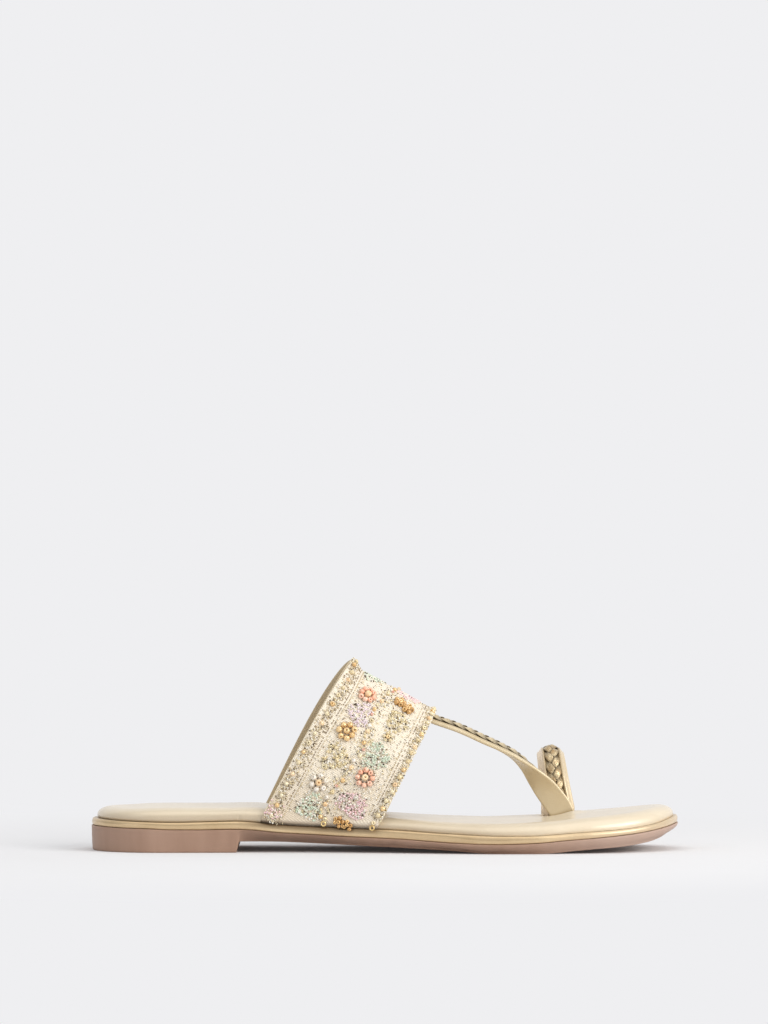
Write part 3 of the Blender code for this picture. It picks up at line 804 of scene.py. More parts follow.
def makeRand():
    # The board's edge in its leather: fuller below than above, from the sole's top to the
    # footbed's foot. The inset follows 1 - cos of a turn to a power, and the height its sine.
    turn = np.linspace(-np.pi / 2, np.pi / 2, 29)[:, None]
    reach = np.cos(turn).clip(0) ** np.where(turn < 0, 0.42, 0.8)
    moved = drawnIn(rand["inset"] + rand["bulge"] * (1 - reach) + 0 * soleOutline[:, 0])
    x = moved[..., 0]
    bottom = shownTop("sole", x) + rand["gap"]
    top = shownTop("rand", x)
    rings = np.dstack([moved, bottom + (top - bottom) * (1 + np.sin(turn)) / 2])
    at, wide, deep = rand["crease"]
    lower, upper, crease = (aroundSole(sole["seams"], k) for k in (1, 2, 3))
    crease = crease * bell(turn - at - 0.25 * ripples(rings, 40, 14), wide)
    uneven = ripples(rings, 21, 11) * 0.13 + ripples(rings, 6, 12) * 0.05 - crease * deep
    rings[..., :2] += outlineOut * (uneven * reach)[..., None]
    rings[..., 2] += ripples(rings, 26, 13) * 0.08 * reach
    # Painted shade: darker towards its seams at the top and the bottom and in its crease, and on
    # its upper part, where the band's shadow falls; its caps between the layers are shaded too.
    # Painted light makes it paler towards the toe.
    shade = 0.5 * (1 - reach) ** 2 * np.where(turn < 0, lower, upper) + 0.3 * crease
    dark, middle, far = rand["shadowUnderBand"]
    bandShadow = bell(x - middle, far, 8) * ((np.sin(turn) + 0.35) / 1.1).clip(0, 1) ** 0.8
    shade = np.maximum(shade, bandShadow * dark)
    caps = [acrossRing(rings[0], 2), acrossRing(rings[-1], 2)]
    patches = [grid(rings, loopColumns=True)] + caps
    pieceOf(
        "goldRand", patches, leatherFinish("gold rand leather", randLook), ["rand"],
        {"shade": withCaps(shade, caps, 0.35), "pale": paleAt(patches, 2)},
    )


makeRand()

footbedLook = {
    "light": (232, 219, 194),
    "dark": (224, 208, 181),
    # deep is the colour of the painted shade and of the mottling
    "deep": (150, 124, 88),
    "patch": 30,
    "mottle": 0.16,
    "grain": 1.1,
    "relief": 0.045,
    "metallic": 0.12,
    "roughness": (0.34, 0.5),
    "coat": 0.55,
    "coatRoughness": 0.16,
}


def byStraps(x, y):
    # How far the pad's top stands off its dome beside the toe strap: it dips round the slot, by
    # a flat-bottomed bell, and swells in front of it, by a plain bell.
    height = 0
    for key, power in (("dip", 4), ("swelling", 2)):
        high, middleX, middleY, long, wide = footbed[key]
        away = np.hypot((x - middleX) / long, (y - middleY) / wide)
        height = height + high * bell(away, 1, power)
    return height


def makeFootbed():
    # The padded footbed: its side is an egg-shaped curve, tight below where the cover is
    # pulled under and long above where it rolls over to the top, which is domed across. The
    # cover puckers where it goes under, and the top dips and swells beside the straps.
    below = np.linspace(-np.pi / 2, 0, 8)[:-1]
    above = np.linspace(0, np.pi / 2, 18)
    turn = np.concatenate([below, above])[:, None]
    edge, swell, tuck = (aroundSole(footbed["edge"], k) for k in (1, 2, 3))
    insets = edge + np.where(turn < 0, tuck, footbed["roll"]) * (1 - np.cos(turn))
    thick = footbed["thick"]
    lift = np.where(turn < 0, swell * (1 + np.sin(turn)), swell + (thick - swell) * np.sin(turn))
    moved = drawnIn(insets)
    x = moved[..., 0]
    bottom = shownTop("rand", x) + rand["gap"]
    top = shownTop("footbed", x)
    rings = np.dstack([moved, bottom + (top - bottom) * lift / thick])
    run = np.cumsum(np.linalg.norm(np.diff(soleOutline, axis=0, append=soleOutline[:1]), axis=1))
    hem = bell(turn + 0.5, 0.5)
    pucker = np.sin(2 * np.pi * run / 2.9 + 2.5 * ripples(rings[0], 12, 5)) * footbed["pucker"]
    rings[..., :2] += outlineOut * (pucker * hem + ripples(rings, 24, 6) * 0.22)[..., None]
    rings[..., 2] += ripples(rings, 30, 8) * 0.12 * np.sin(turn).clip(0) ** 2
    cap = acrossRing(rings[-1], 34, footbed["dome"], 20)
    top = cap[0]
    top[:, 2] += byStraps(top[:, 0], top[:, 1])
    # Painted shade: darker at its foot, where it is tucked in over the rand, as the seams table
    # says, and down its side below the roll, as its edge table says.
    shade = 0.4 * bell(turn + np.pi / 2, 0.7)
    shade = shade * aroundSole(sole["seams"], 2)
    flankShade = aroundSole(footbed["edge"], 4)
    shade = np.maximum(shade, flankShade * (1 - np.sin(turn).clip(0)) ** 1.4)
    caps = [cap, acrossRing(rings[0], 2)]
    made = pieceOf(
        "footbedPad", [grid(rings, loopColumns=True)] + caps,
        leatherFinish("pearly footbed leather", footbedLook), ["footbed"],
        {"shade": withCaps(shade, caps)},
    )


makeFootbed()


# The band: cloth outside, lining inside, a cord along both edges

bandArch, bandLengths, outerCorners, innerCorners = bandGrid()
bandFace = unit(np.cross(np.gradient(bandArch, axis=0), np.gradient(bandArch, axis=1)))
if bandFace[band["shares"] // 2, band["places"] // 2, 2] < 0:
    bandFace = -bandFace
bandWidths = np.linalg.norm(np.diff(bandArch, axis=0), axis=2).sum(axis=0)
bandForward, bandUp = (unit(np.gradient(bandArch, axis=axis)) for axis in (0, 1))
bandSlant = (bandForward * bandUp).sum(axis=2, keepdims=True)  # cosine of the angle between them


def between(values, row, column):
    # A grid read between its points, by the four around each place.
    rows, columns = values.shape[:2]
    row, column = np.clip(row, 0, rows - 1.001), np.clip(column, 0, columns - 1.001)
    i, j = row.astype(int), column.astype(int)
    s, t = (row - i)[..., None], (column - j)[..., None]
    near = values[i, j] * (1 - t) + values[i, j + 1] * t
    far = values[i + 1, j] * (1 - t) + values[i + 1, j + 1] * t
    return near * (1 - s) + far * s


def bandLengthAt(share):
    # Millimetres from foot to foot, at a share of the way from the back edge to the front.
    return np.interp(share, np.linspace(0, 1, band["shares"]), bandLengths)


def hemLift(up):
    # How far the cloth stands out, up millimetres above a foot of the band or below it.
    high, long = band["hem"]
    return high * bell(up * np.where(up < 0, 7, 1), long)


def onBand(share, run, lift, dx=0.0, dy=0.0):
    # Places on the band and its outward direction there. share goes from the back edge to the
    # front; run is millimetres up from the outer foot, or down to the inner foot if negative;
    # dx shifts a place by millimetres square to the line there, and dy up it.
    share, run = np.broadcast_arrays(np.asarray(share, float), np.asarray(run, float))
    row = share * (band["shares"] - 1)
    length = bandLengthAt(share)
    column = np.where(run < 0, length + run - dy, run + dy) / length * (band["places"] - 1)
    width = np.interp(column, np.arange(band["places"]), bandWidths)
    slant = between(bandSlant, row, column)[..., 0]
    square = np.sqrt(1 - slant**2)
    row = row + dx / square / width * (band["shares"] - 1)
    column = column - dx * slant / square / length * (band["places"] - 1)
    face = unit(between(bandFace, row, column))
    beyond = np.minimum(column, 0) / (band["places"] - 1) * length
    up = np.minimum(column, band["places"] - 1 - column).clip(0) / (band["places"] - 1) * length
    places = between(bandArch, row, column) + face * (lift + hemLift(up))[..., None]
    places[..., 2] += beyond
    return places, face


def foldedUnder(arch, corner):
    # The turn at a foot of the band: a quadratic bend from a short tab under the footbed,
    # through the corner, to the start of the arch.
    inward = np.zeros_like(corner)
    inward[:, 1] = -np.sign(corner[:, 1])
    t = np.linspace(0, 1, band["bendPlaces"])[1:-1, None]
    start = corner + inward * band["bend"]
    bend = start[:, None] * (1 - t) ** 2 + corner[:, None] * 2 * t * (1 - t) + arch[:, None] * t * t
    return np.concatenate([(corner + inward * band["tab"])[:, None], start[:, None], bend], axis=1)


def bandShell(below, above, trim, puff, seed, count):
    # A sheet of the band between two lifts off its middle surface, drawn in by trim from both
    # edges, with rounded edges and a soft unevenness; count lines from back to front.
    surface = np.concatenate([
        foldedUnder(bandArch[:, 0], outerCorners),
        bandArch,
        foldedUnder(bandArch[:, -1], innerCorners)[:, ::-1],
    ], axis=1)
    face = unit(np.cross(np.gradient(surface, axis=0), np.gradient(surface, axis=1)))
    middleRow = band["shares"] // 2
    face = face if face[middleRow, surface.shape[1] // 2, 2] > 0 else -face
    ahead = unit(np.gradient(surface, axis=0))
    number = np.linspace(0, band["shares"] - 1, count)
    rows = number[:, None]
    columns = np.arange(surface.shape[1])[None]
    middle = between(surface, rows, columns)
    outward = unit(between(face, rows, columns))
    forward = between(ahead, rows, columns)
    half = (above - below) / 2
    centre = middle + outward * (above + below) / 2
    edge = np.linspace(-1, 1, count)[:, None, None]
    centre = centre - forward * edge * (trim + half) * np.abs(edge) ** 6
    rise = ripples(centre, 15, seed) * puff
    foot = np.minimum(columns[0], columns[0, ::-1]) - (band["bendPlaces"] - 2)
    rise = rise + (above > 0) * hemLift(foot / (band["places"] - 1) * bandLengths.mean())
    over = centre + outward * (half + rise)[..., None]
    under = (centre - outward * (half - 0.5 * rise)[..., None])[::-1]
    turns = np.linspace(0, np.pi, 7)[1:-1, None, None]
    front = centre[-1] + (outward[-1] * np.cos(turns) + forward[-1] * np.sin(turns)) * half
    back = centre[0] - (outward[0] * np.cos(turns) + forward[0] * np.sin(turns)) * half
    section = np.concatenate([over, front, under, back])
    across = np.concatenate([
        number, np.full(5, number[-1]), number[::-1], np.zeros(5)
    ]) / (band["shares"] - 1)
    along = runAlong(surface[middleRow])
    up = unit(np.gradient(surface, axis=1))
    inner = slice(12, -12)    # lines away from both edges
    slant = (ahead * up).sum(axis=2)[inner].mean(axis=0)
    weave = np.zeros(section.shape)
    weave[..., 0] = across[:, None] * band["weaveWidth"]
    weave[..., 1] = along[None] + weave[..., 0] * slant[None]
    # The weave's third part carries painted shade: towards 1 at the feet, less in front, and up to
    # 1 more in the fold under the hem.
    high, less = band["footShade"]
    near = bell(np.minimum(along, along[-1] - along)[None], high)
    weave[..., 2] = near * (1 - less * across[:, None]) + eased((-1 - foot) / band["fold"])
    section = endDrawnIn(section.swapaxes(0, 1)).swapaxes(0, 1)
    weave = endsRepeated(weave.swapaxes(0, 1)).swapaxes(0, 1)
    return grid(section, loopRows=True), weave.reshape(-1, 3)


clothLook = {
    "light": (255, 247, 231),
    "dark": (249, 237, 215),
    # foot is the colour of the painted shade towards the feet, fold that of the painted shade in
    # the fold under the hem, and deep that of the painted shade in the valleys of the ribs
    "foot": (222, 205, 181),
    "fold": (92, 72, 48),
    "deep": (184, 160, 126),
    "rib": 0.64,
    "thread": 0.5,
    "contrast": 0.42,
    "relief": 0.16,
}
liningLook = {
    "light": (153, 132, 93),
    "dark": (132, 111, 72),
    "deep": (110, 94, 68),
    "rim": (202, 184, 152),
    "rimWide": 1.7,
}


clothSheet = {"below": -0.1, "above": 1.0, "trim": 0.5, "puff": 0.12, "seed": 21, "count": 56}
liningSheet = {"below": -1.0, "above": -0.2, "trim": 0.15, "puff": 0.06, "seed": 22, "count": 60}


def makeBand():
    # The cloth on the outside, and inside it the lining, which knows how far its edges are.
    cloth, weave = bandShell(**clothSheet)
    pieceOf(
        "bandCloth", [cloth], clothFinish("ribbed cream cloth", clothLook),
        ["instep_band"], {"weave": weave},
    )
    lining, weave = bandShell(**liningSheet)
    fromEdge = np.minimum(weave[:, 0], band["weaveWidth"] - weave[:, 0])
    pieceOf(
        "bandLining", [lining], liningFinish("taupe lining leather", liningLook),
        attributes={"fromEdge": fromEdge},
    )


makeBand()


def twistedCord(line, across, out, look):
    # Plies wound round a line: each ply's middle goes round it once in a pitch, and its
    # section is a circle; both ends are drawn together.
    run = runAlong(line)
    turn = np.linspace(0, 2 * np.pi, look["sides"], endpoint=False)[None]
    patches = []
    for ply in range(look["plies"]):
        angle = (2 * np.pi * (run / look["pitch"] + ply / look["plies"]))[:, None]
        middle = line + (across * np.cos(angle) + out * np.sin(angle)) * look["radius"] * 0.48
        size = np.full(len(line), look["radius"] * 0.58)
        size[[0, -1]] = 0.0
        around = np.cos(turn)[..., None] * across[:, None] + np.sin(turn)[..., None] * out[:, None]
        patches.append(grid(middle[:, None] + around * size[:, None, None], loopColumns=True))
    return patches


edgeCord = {
    "shares": (0.012, 0.99),    # where the two cords lie, from the back edge to the front one
    "endsIn": 0.6,
    "lift": 0.5,
    "radius": 0.45,
    "pitch": 2.0,
    "plies": 2,
    "sides": 7,
    "stations": 620,
}
threadLook = {"light": (252, 244, 224), "dark": (232, 216, 182), "deep": (168, 142, 100)}
paleThread = threadFinish("pale gold thread", threadLook)


def makeEdgeCords():
    # The twisted edging of both edges, as one piece.
    patches = []
    for share in edgeCord["shares"]:
        first, last = edgeCord["endsIn"], bandLengthAt(share) - edgeCord["endsIn"]
        run = np.linspace(first, last, edgeCord["stations"])
        line, face = onBand(share, run, edgeCord["lift"])
        beside = np.cross(unit(np.gradient(line, axis=0)), face)
        patches += twistedCord(line, beside, face, edgeCord)
    tones = np.concatenate([ripples(patch[0], 3, 31) * 0.5 + 0.5 for patch in patches])
    pieceOf("edgeCords", patches, paleThread, attributes={"tone": tones})


makeEdgeCords()


# The embroidery: bead and stitch shapes, then where they go


def beadShape(around, section, hole, thick):
    # A bead of radius 1: a rounded section turned round the hole.
    a = np.linspace(0, 2 * np.pi, around, endpoint=False)[:, None]
    b = np.linspace(0, 2 * np.pi, section, endpoint=False)[None]
    radius = (1 + hole) / 2 + (1 - hole) / 2 * np.cos(b)
    height = thick * np.sin(b) + 0 * a
    points = np.stack([radius * np.cos(a), radius * np.sin(a), height], axis=-1)
    return grid(points, loopRows=True, loopColumns=True)


def stitchShape():
    # A stitch of length 2 that arches off the cloth and goes down at both ends.
    along = np.array([-1, -0.8, -0.35, 0.35, 0.8, 1])[:, None]
    turn = np.linspace(0, 2 * np.pi, 5, endpoint=False)[None]
    size = np.sqrt(np.maximum(1 - along**4, 0.02))
    lift = 1.2 * (1 - along**2)
    points = np.stack([
        size * np.cos(turn), along + 0 * turn, size * np.sin(turn) * 0.8 + lift
    ], axis=-1)
    return grid(points, loopColumns=True)


def copies(shape, places, axes, aims, sizes):
    # Copies of a shape, each at its place, with its z along its axis, its y along its aim and
    # its own size in x, y and z.
    points, faces = shape
    aims = unit(aims - axes * (aims * axes).sum(axis=-1, keepdims=True))
    sides = np.cross(aims, axes)
    scaled = points[None] * sizes[:, None]
    moved = places[:, None] + scaled[..., :1] * sides[:, None] + scaled[..., 1:2] * aims[:, None]
    moved = moved + scaled[..., 2:] * axes[:, None]
    numbers = faces[None] + (np.arange(len(places)) * len(points))[:, None, None]
    return moved.reshape(-1, 3), numbers.reshape(-1, faces.shape[1])


beading = {
    # up the line, from the edge to the border's beads, and to the line where the border ends
    "borderBack": [
        (0, 3.6, 6.9), (22, 2.9, 7.3), (44, 2.9, 6.7), (60, 2.9, 6.5), (74, 2.2, 5.3),
        (84, 0.8, 4.4),
    ],
    "borderFront": [(0, 1.9, 4.6), (30, 1.3, 4.5), (64, 1.1, 4.9)],
    "scallops": (4.85, 3.75),
    # kind, share of the way forwards, run up from each foot; those at the crown stand once
    "motifs": [
        ("green patch", 0.34, 6.0), ("white flower", 0.312, 17.1), ("gold patch", 0.332, 29.6),
        ("gold flower", 0.314, 41.7), ("lilac patch", 0.342, 51.8), ("coral flower", 0.308, 62.0),
        ("pink patch", 0.7, 7.4), ("coral flower", 0.682, 20), ("green patch", 0.682, 29.9),
        ("small flower", 0.694, 39.8), ("gold patch", 0.705, 48.4), ("double flower", 0.682, 58.9),
    ],
    "crownMotifs": [("green patch", 0.25, 79.5), ("pink patch", 0.667, 71)],
    "patchRadius": 5.6,
    "seedStep": 0.86,
    "threadRadius": 0.19,
    "seed": 17,
}
flowers = {
    # petals, middle, number of petals, radius of their ring, of a petal and of the middle
    "gold flower": ("gold beads", "gold beads", 7, 3.1, 1.28, 1.4),
    "double flower": ("amber beads", "gold beads", 5, 1.95, 1.12, 1.15),
    "small flower": ("champagne beads", "gold beads", 5, 1.65, 0.72, 0.95),
    "coral flower": ("coral beads", "peach beads", 8, 3.1, 1.14, 1.45),
    "white flower": ("pearl beads", "peach beads", 6, 3.0, 1.1, 1.35),
    "foot flower": ("amber beads", "amber beads", 6, 1.75, 0.92, 1.0),
    "lower foot flower": ("amber beads", "amber beads", 5, 1.5, 0.88, 0.9),
}
draw = np.random.default_rng(beading["seed"])
sewn = {}  # rows of share, run, lift, dx, dy, radius, tilt, aim, tone for each kind of bead


def sew(kind, share, run, lift, dx, dy, radius, tilt, aim=None):
    # Notes beads or stitches of a kind. tilt leans their holes away from the cloth's normal.
    dx, dy = np.broadcast_arrays(np.asarray(dx, float), np.asarray(dy, float))
    count = dx.size
    aim = draw.uniform(0, 2 * np.pi, count) if aim is None else np.broadcast_to(aim, count)
    rows = [share, run, lift, dx.ravel(), dy.ravel(), radius, tilt, aim, draw.uniform(0, 1, count)]
    rows = [np.broadcast_to(row, count) for row in rows]
    sewn.setdefault(kind, []).append(np.stack(rows, axis=1))


def sewPatch(kind, share, run, radius, wide, high):
    # Seeds scattered over a soft-edged oval: a jittered net, with dark ones set on top that
    # stand for dark thread and for the shade between the seeds.
    step = beading["seedStep"]
    reach = np.arange(-radius * 1.3, radius * 1.3 + step, step)
    x, y = (part.ravel() for part in np.meshgrid(reach, reach))
    x = x + (np.arange(len(x)) // len(reach) % 2) * step / 2
    x, y = (part + draw.normal(0, 0.17, len(x)) for part in (x, y))
    edge = np.hypot(x / wide, y / high) + 0.9 * np.sin(3 * np.arctan2(y, x) + run)
    inside = (edge < radius) & (draw.uniform(size=len(x)) > 0.12)
    x, y = x[inside], y[inside]
    chance = draw.uniform(size=len(x))
    parts = ((kind, 0, 0.57), ("clear seeds", 0.57, 0.87), ("bronze seeds", 0.87, 1))
    for name, start, end in parts:
        some = (chance >= start) & (chance < end)
        dark = name == "bronze seeds"
        smallest, largest = (0.3, 0.42) if dark else (0.42, 0.58)
        size = draw.uniform(smallest, largest, some.sum())
        lean = draw.uniform(0, 1.4, some.sum())
        sew(name, share, run, 1.35 if dark else 1.2, x[some], y[some], size, lean)
    if kind == "gold seeds":
        turn, out = draw.uniform(0, 2 * np.pi, 11), radius * np.sqrt(draw.uniform(0, 0.9, 11))
        x, y = wide * out * np.cos(turn), out * np.sin(turn)
        sew("champagne beads", share, run, 1.45, x, y, draw.uniform(0.6, 0.85, 11), 0.8)


def sewFlower(name, share, run, dx=0.0, dy=0.0, loose=True):
    # Petal beads in a ring round a larger middle bead, a little off true, with dark seeds as
    # painted shade in the gaps between the petals and loose clear ones outside.
    kind, centre, petals, radius, petal, middle = flowers[name]
    turn = 2 * np.pi * np.arange(petals) / petals + draw.uniform(0, 1)
    out = radius * draw.uniform(0.93, 1.07, petals)
    x, y = dx + out * np.cos(turn), dy + out * np.sin(turn)
    size, lean = petal * draw.uniform(0.93, 1.06, petals), draw.uniform(0.1, 1.3, petals)
    sew(kind, share, run, 1.0 + petal * 0.8, x, y, size, lean)
    sew(centre, share, run, 1.1 + middle * 0.9, dx, dy, middle, 0.3)
    turn = turn + np.pi / petals
    for reach in (0.62, 1.12):
        x, y = dx + reach * radius * np.cos(turn), dy + reach * radius * np.sin(turn)
        sew("bronze seeds", share, run, 1.12, x, y, 0.29, 0.6)
    if not loose:
        return
    turn = np.concatenate([turn, turn + np.pi / petals])
    out = radius * draw.uniform(1.4, 1.62, len(turn))
    x, y = dx + out * np.cos(turn), dy + out * np.sin(turn)
    sew("clear seeds", share, run, 1.15, x, y, draw.uniform(0.36, 0.52, len(turn)), 0.8)


def sewMotif(name, share, run):
    # A flower, two of them side by side, or else a patch of seeds.
    if name == "double flower":
        sewFlower(name, share, run, -2.3, 1.0)
        sewFlower(name, share, run, 2.3, -1.0)
    elif name in flowers:
        sewFlower(name, share, run)
    else:
        wide, high = (1.36, 0.9) if name == "pink patch" else (0.96, 1.1)
        sewPatch(name.split()[0] + " seeds", share, run, beading["patchRadius"], wide, high)


def sewMotifs():
    # Two rows of motifs up each side of the band, the inner side's as the outer side's.
    for name, share, run in beading["motifs"]:
        sewMotif(name, share, run)
        sewMotif(name, share, -run)
    for name, share, run in beading["crownMotifs"]:
        sewMotif(name, share, run)


def sewSpine():
    # A winding line of beads up the middle, with small beads and seeds to either side.
    length = bandLengthAt(0.5)
    runs = np.arange(1.5, length, 2.9)
    share = 0.494 - 0.034 * np.cos(2 * np.pi * (runs - 9) / 46)
    beads = (
        "gold beads", "gold seeds", "peach beads", "pearl beads", "champagne beads", "coral seeds",
    )
    # the dark seeds stand for dark thread and for the shade between the beads
    loose = ("gold seeds", "clear seeds", "bronze seeds") * 4
    for number, (at, run) in enumerate(zip(share, runs)):
        kind = beads[number % len(beads)]
        size = 0.95 if "beads" in kind else 0.7
        sew(kind, at, run, 1.6, draw.uniform(-1.2, 1.2), 0.0, size, 0.7)
        spread = draw.uniform(-1, 1, (2, 12)) * [[3.0], [1.6]]
        for x, y, name in zip(*spread, loose):
            sew(name, at, run, 1.15, x, y, 0.3 if name == "bronze seeds" else 0.48, 0.9)


def borderAt(back, run, length):
    # From the edge to the border's beads and to its inner line, at runs up either side.
    table = beading["borderBack"] if back else beading["borderFront"]
    up = np.minimum(run, length - run)
    return readTable(table, 1, up), readTable(table, 2, up)


def sewBorder(back):
    # Along an edge: beads, each in a fan of light and dark stitches with seeds round it, and a
    # broken line of dark stitches where the border ends.
    edge, side = (0.0, 1) if back else (1.0, -1)
    length = bandLengthAt(edge)
    count = int(round((length - 3.6) / beading["scallops"][0 if back else 1])) + 1
    runs = np.linspace(1.8, length - 1.8, count)
    runs[1:-1] += draw.uniform(-0.5, 0.5, count - 2)
    beadLine, line = borderAt(back, runs, length)
    size = 1.0 if back else 1.08
    kinds = ("champagne beads", "gold beads", "champagne beads", "champagne beads", "peach beads")
    for number, (run, near, far) in enumerate(zip(runs, beadLine, line)):
        x = side * (near + draw.uniform(-0.25, 0.25))
        bead = size * draw.uniform(0.86, 1.08)
        sew(kinds[number % len(kinds)], edge, run, 1.5, x, 0.0, bead, draw.uniform(0.1, 1.3))
        turn = np.linspace(-0.62, 0.62, 9) * np.pi
        out = 1.9 + 0.35 * (number % 2)
        fanX, fanY = x + side * out * np.cos(turn) * (far - near) / 3.6, out * np.sin(turn)
        aim = np.arctan2(np.sin(turn), side * np.cos(turn))
        sew("stitches", edge, run, 1.05, fanX, fanY, draw.uniform(0.5, 0.8, 9), 0.0, aim)
        fanX, fanY, aim = ((part[1:] + part[:-1]) / 2 for part in (fanX, fanY, aim))
        some = slice(None) if back else slice(0, None, 3)
        long = draw.uniform(0.3, 0.55, 8)[some]
        sew("dark stitches", edge, run, 0.96, fanX[some], fanY[some], long, 0.0, aim[some])
        fill, dark = (19, 6) if back else (9, 1)
        fillX, fillY = side * draw.uniform(0.7, far - 0.5, fill), draw.uniform(-2.5, 2.5, fill)
        aim, long = draw.uniform(0, np.pi, fill), draw.uniform(0.4, 0.75, fill)
        parts = (("dark stitches", slice(0, dark)), ("olive stitches", slice(dark, fill)))
        for kind, some in parts:
            sew(kind, edge, run, 1.0, fillX[some], fillY[some], long[some] * 0.85, 0.0, aim[some])
        turn = draw.uniform(0, 2 * np.pi, 13)
        out = draw.uniform(1.5, 2.9, 13)
        x, y = x + out * np.cos(turn) * 0.7, out * np.sin(turn)
        sew("clear seeds", edge, run, 1.15, x[:7], y[:7], 0.42, 0.9)
        sew("gold seeds", edge, run, 1.15, x[7:10], y[7:10], 0.42, 0.9)
        # dark seeds that stand for dark thread and for the shade between the beads
        sew("bronze seeds", edge, run, 1.25, x[10:], y[10:], draw.uniform(0.24, 0.36, 3), 0.9)
        if not back:
            x, y = draw.uniform(-0.7, 0, 6), draw.uniform(-2, 2, 6)
            sew("gold seeds", edge, run, 0.95, x[:3], y[:3], 0.45, 0.9)
            sew("clear seeds", edge, run, 0.95, x[3:], y[3:], 0.4, 0.9)
    for beyond, kind in ((0.0, "dark stitches"), (1.25, "olive stitches")):
        runs = np.arange(0.8, length, 1.3)
        runs = runs[draw.uniform(size=len(runs)) > 0.1]
        runs = runs + draw.uniform(-0.2, 0.2, len(runs))
        for run, far in zip(runs, borderAt(back, runs, length)[1] + beyond):
            long = draw.uniform(0.45, 0.65)
            sew(kind, edge, run, 0.93, side * far, 0.0, long, 0.0, np.pi / 2)


def sewGround():
    # Loose seeds and short stitches over the ground between the motifs, thinned by chance.
    kinds = (
        # how many, how large, tilt
        # the dark seeds stand for dark thread and for the shade between the beads
        ("clear seeds", 800, 0.4, 0.9), ("bronze seeds", 430, 0.22, 0.9),
        ("gold seeds", 230, 0.36, 0.9), ("stitches", 480, 0.5, 0.0),
        ("dark stitches", 170, 0.4, 0.0),
    )
    for kind, count, size, tilt in kinds:
        for share, run in zip(draw.uniform(0.17, 0.88, count), draw.uniform(2, 136, count)):
            sew(kind, share, run, 1.05, 0.0, 0.0, size * draw.uniform(0.8, 1.15), tilt)


def sewFoot():
    # What stands at both feet: a double gold flower over the rand, a ring bead to either side,
    # and small pink and clear seeds along the hem behind.
    for foot in (1, -1):
        run = 0.01 * foot
        sewFlower("foot flower", 0.65, run, 0.0, -0.9, loose=False)
        sewFlower("lower foot flower", 0.68, run, 1.8, -1.1, loose=False)
        for share, down in ((0.52, 1.7), (0.93, 2.8)):
            sew("ring beads", share, run, 1.6, 0.0, -down, 1.3, 0.15)
            sew("champagne beads", share, run, 1.5, 0.4, 2.2 - down, 0.95, 0.5)
        for share in np.linspace(0.01, 0.15, 9):
            sew("pink seeds", share, run, 1.2, 0.0, draw.uniform(0.2, 1.6), 0.45, 0.9)
            sew("clear seeds", share, run, 1.2, 0.4, draw.uniform(0.2, 2.2), 0.4, 0.9)
        x, y = draw.uniform(0.4, 6.5, 26), draw.uniform(0.4, 8, 26)
        sew("pink seeds", 0.0, run, 1.15, x, y, 0.4, 0.9)


sewMotifs()
sewSpine()
sewBorder(True)
sewBorder(False)
sewGround()
sewFoot()

beadLooks = {
    # light and dark tone, the tone of its flaws, how metallic, roughness
    "gold beads": ((255, 224, 168), (236, 196, 134), (168, 122, 70), 0.4, 0.18),
    "amber beads": ((236, 194, 128), (202, 154, 90), (124, 84, 42), 0.4, 0.18),
    "champagne beads": ((250, 239, 206), (233, 213, 168), (166, 140, 92), 0.3, 0.2),
    "ring beads": ((244, 216, 152), (226, 192, 126), (130, 92, 48), 0.5, 0.16),
    "coral beads": ((255, 213, 186), (252, 190, 158), (228, 152, 120), 0.0, 0.16),
    "pearl beads": ((251, 244, 234), (241, 231, 214), (202, 184, 158), 0.0, 0.2),
    "peach beads": ((255, 229, 188), (248, 211, 160), (212, 158, 104), 0.0, 0.16),
    "green seeds": ((239, 245, 226), (219, 232, 207), (178, 196, 164), 0.0, 0.2),
    "lilac seeds": ((250, 238, 240), (242, 222, 228), (196, 166, 176), 0.0, 0.2),
    "pink seeds": ((255, 232, 230), (250, 210, 212), (214, 162, 166), 0.0, 0.2),
    "gold seeds": ((248, 238, 204), (232, 212, 162), (168, 138, 88), 0.2, 0.2),
    "coral seeds": ((248, 204, 182), (236, 176, 152), (186, 120, 94), 0.0, 0.2),
    "clear seeds": ((254, 250, 240), (242, 232, 212), (196, 178, 148), 0.0, 0.14),
    # dark seeds that stand for dark thread and for the shade in the gaps between the beads
    "bronze seeds": ((116, 92, 64), (70, 52, 36), (46, 32, 20), 0.2, 0.3),
}
darkLook = {"light": (176, 152, 116), "dark": (126, 102, 72), "deep": (70, 52, 34)}
oliveLook = {"light": (232, 216, 180), "dark": (200, 180, 136), "deep": (132, 110, 72)}
threads = {
    "stitches": paleThread,
    "olive stitches": threadFinish("olive thread", oliveLook),
    "dark stitches": threadFinish("bronze thread", darkLook),
}


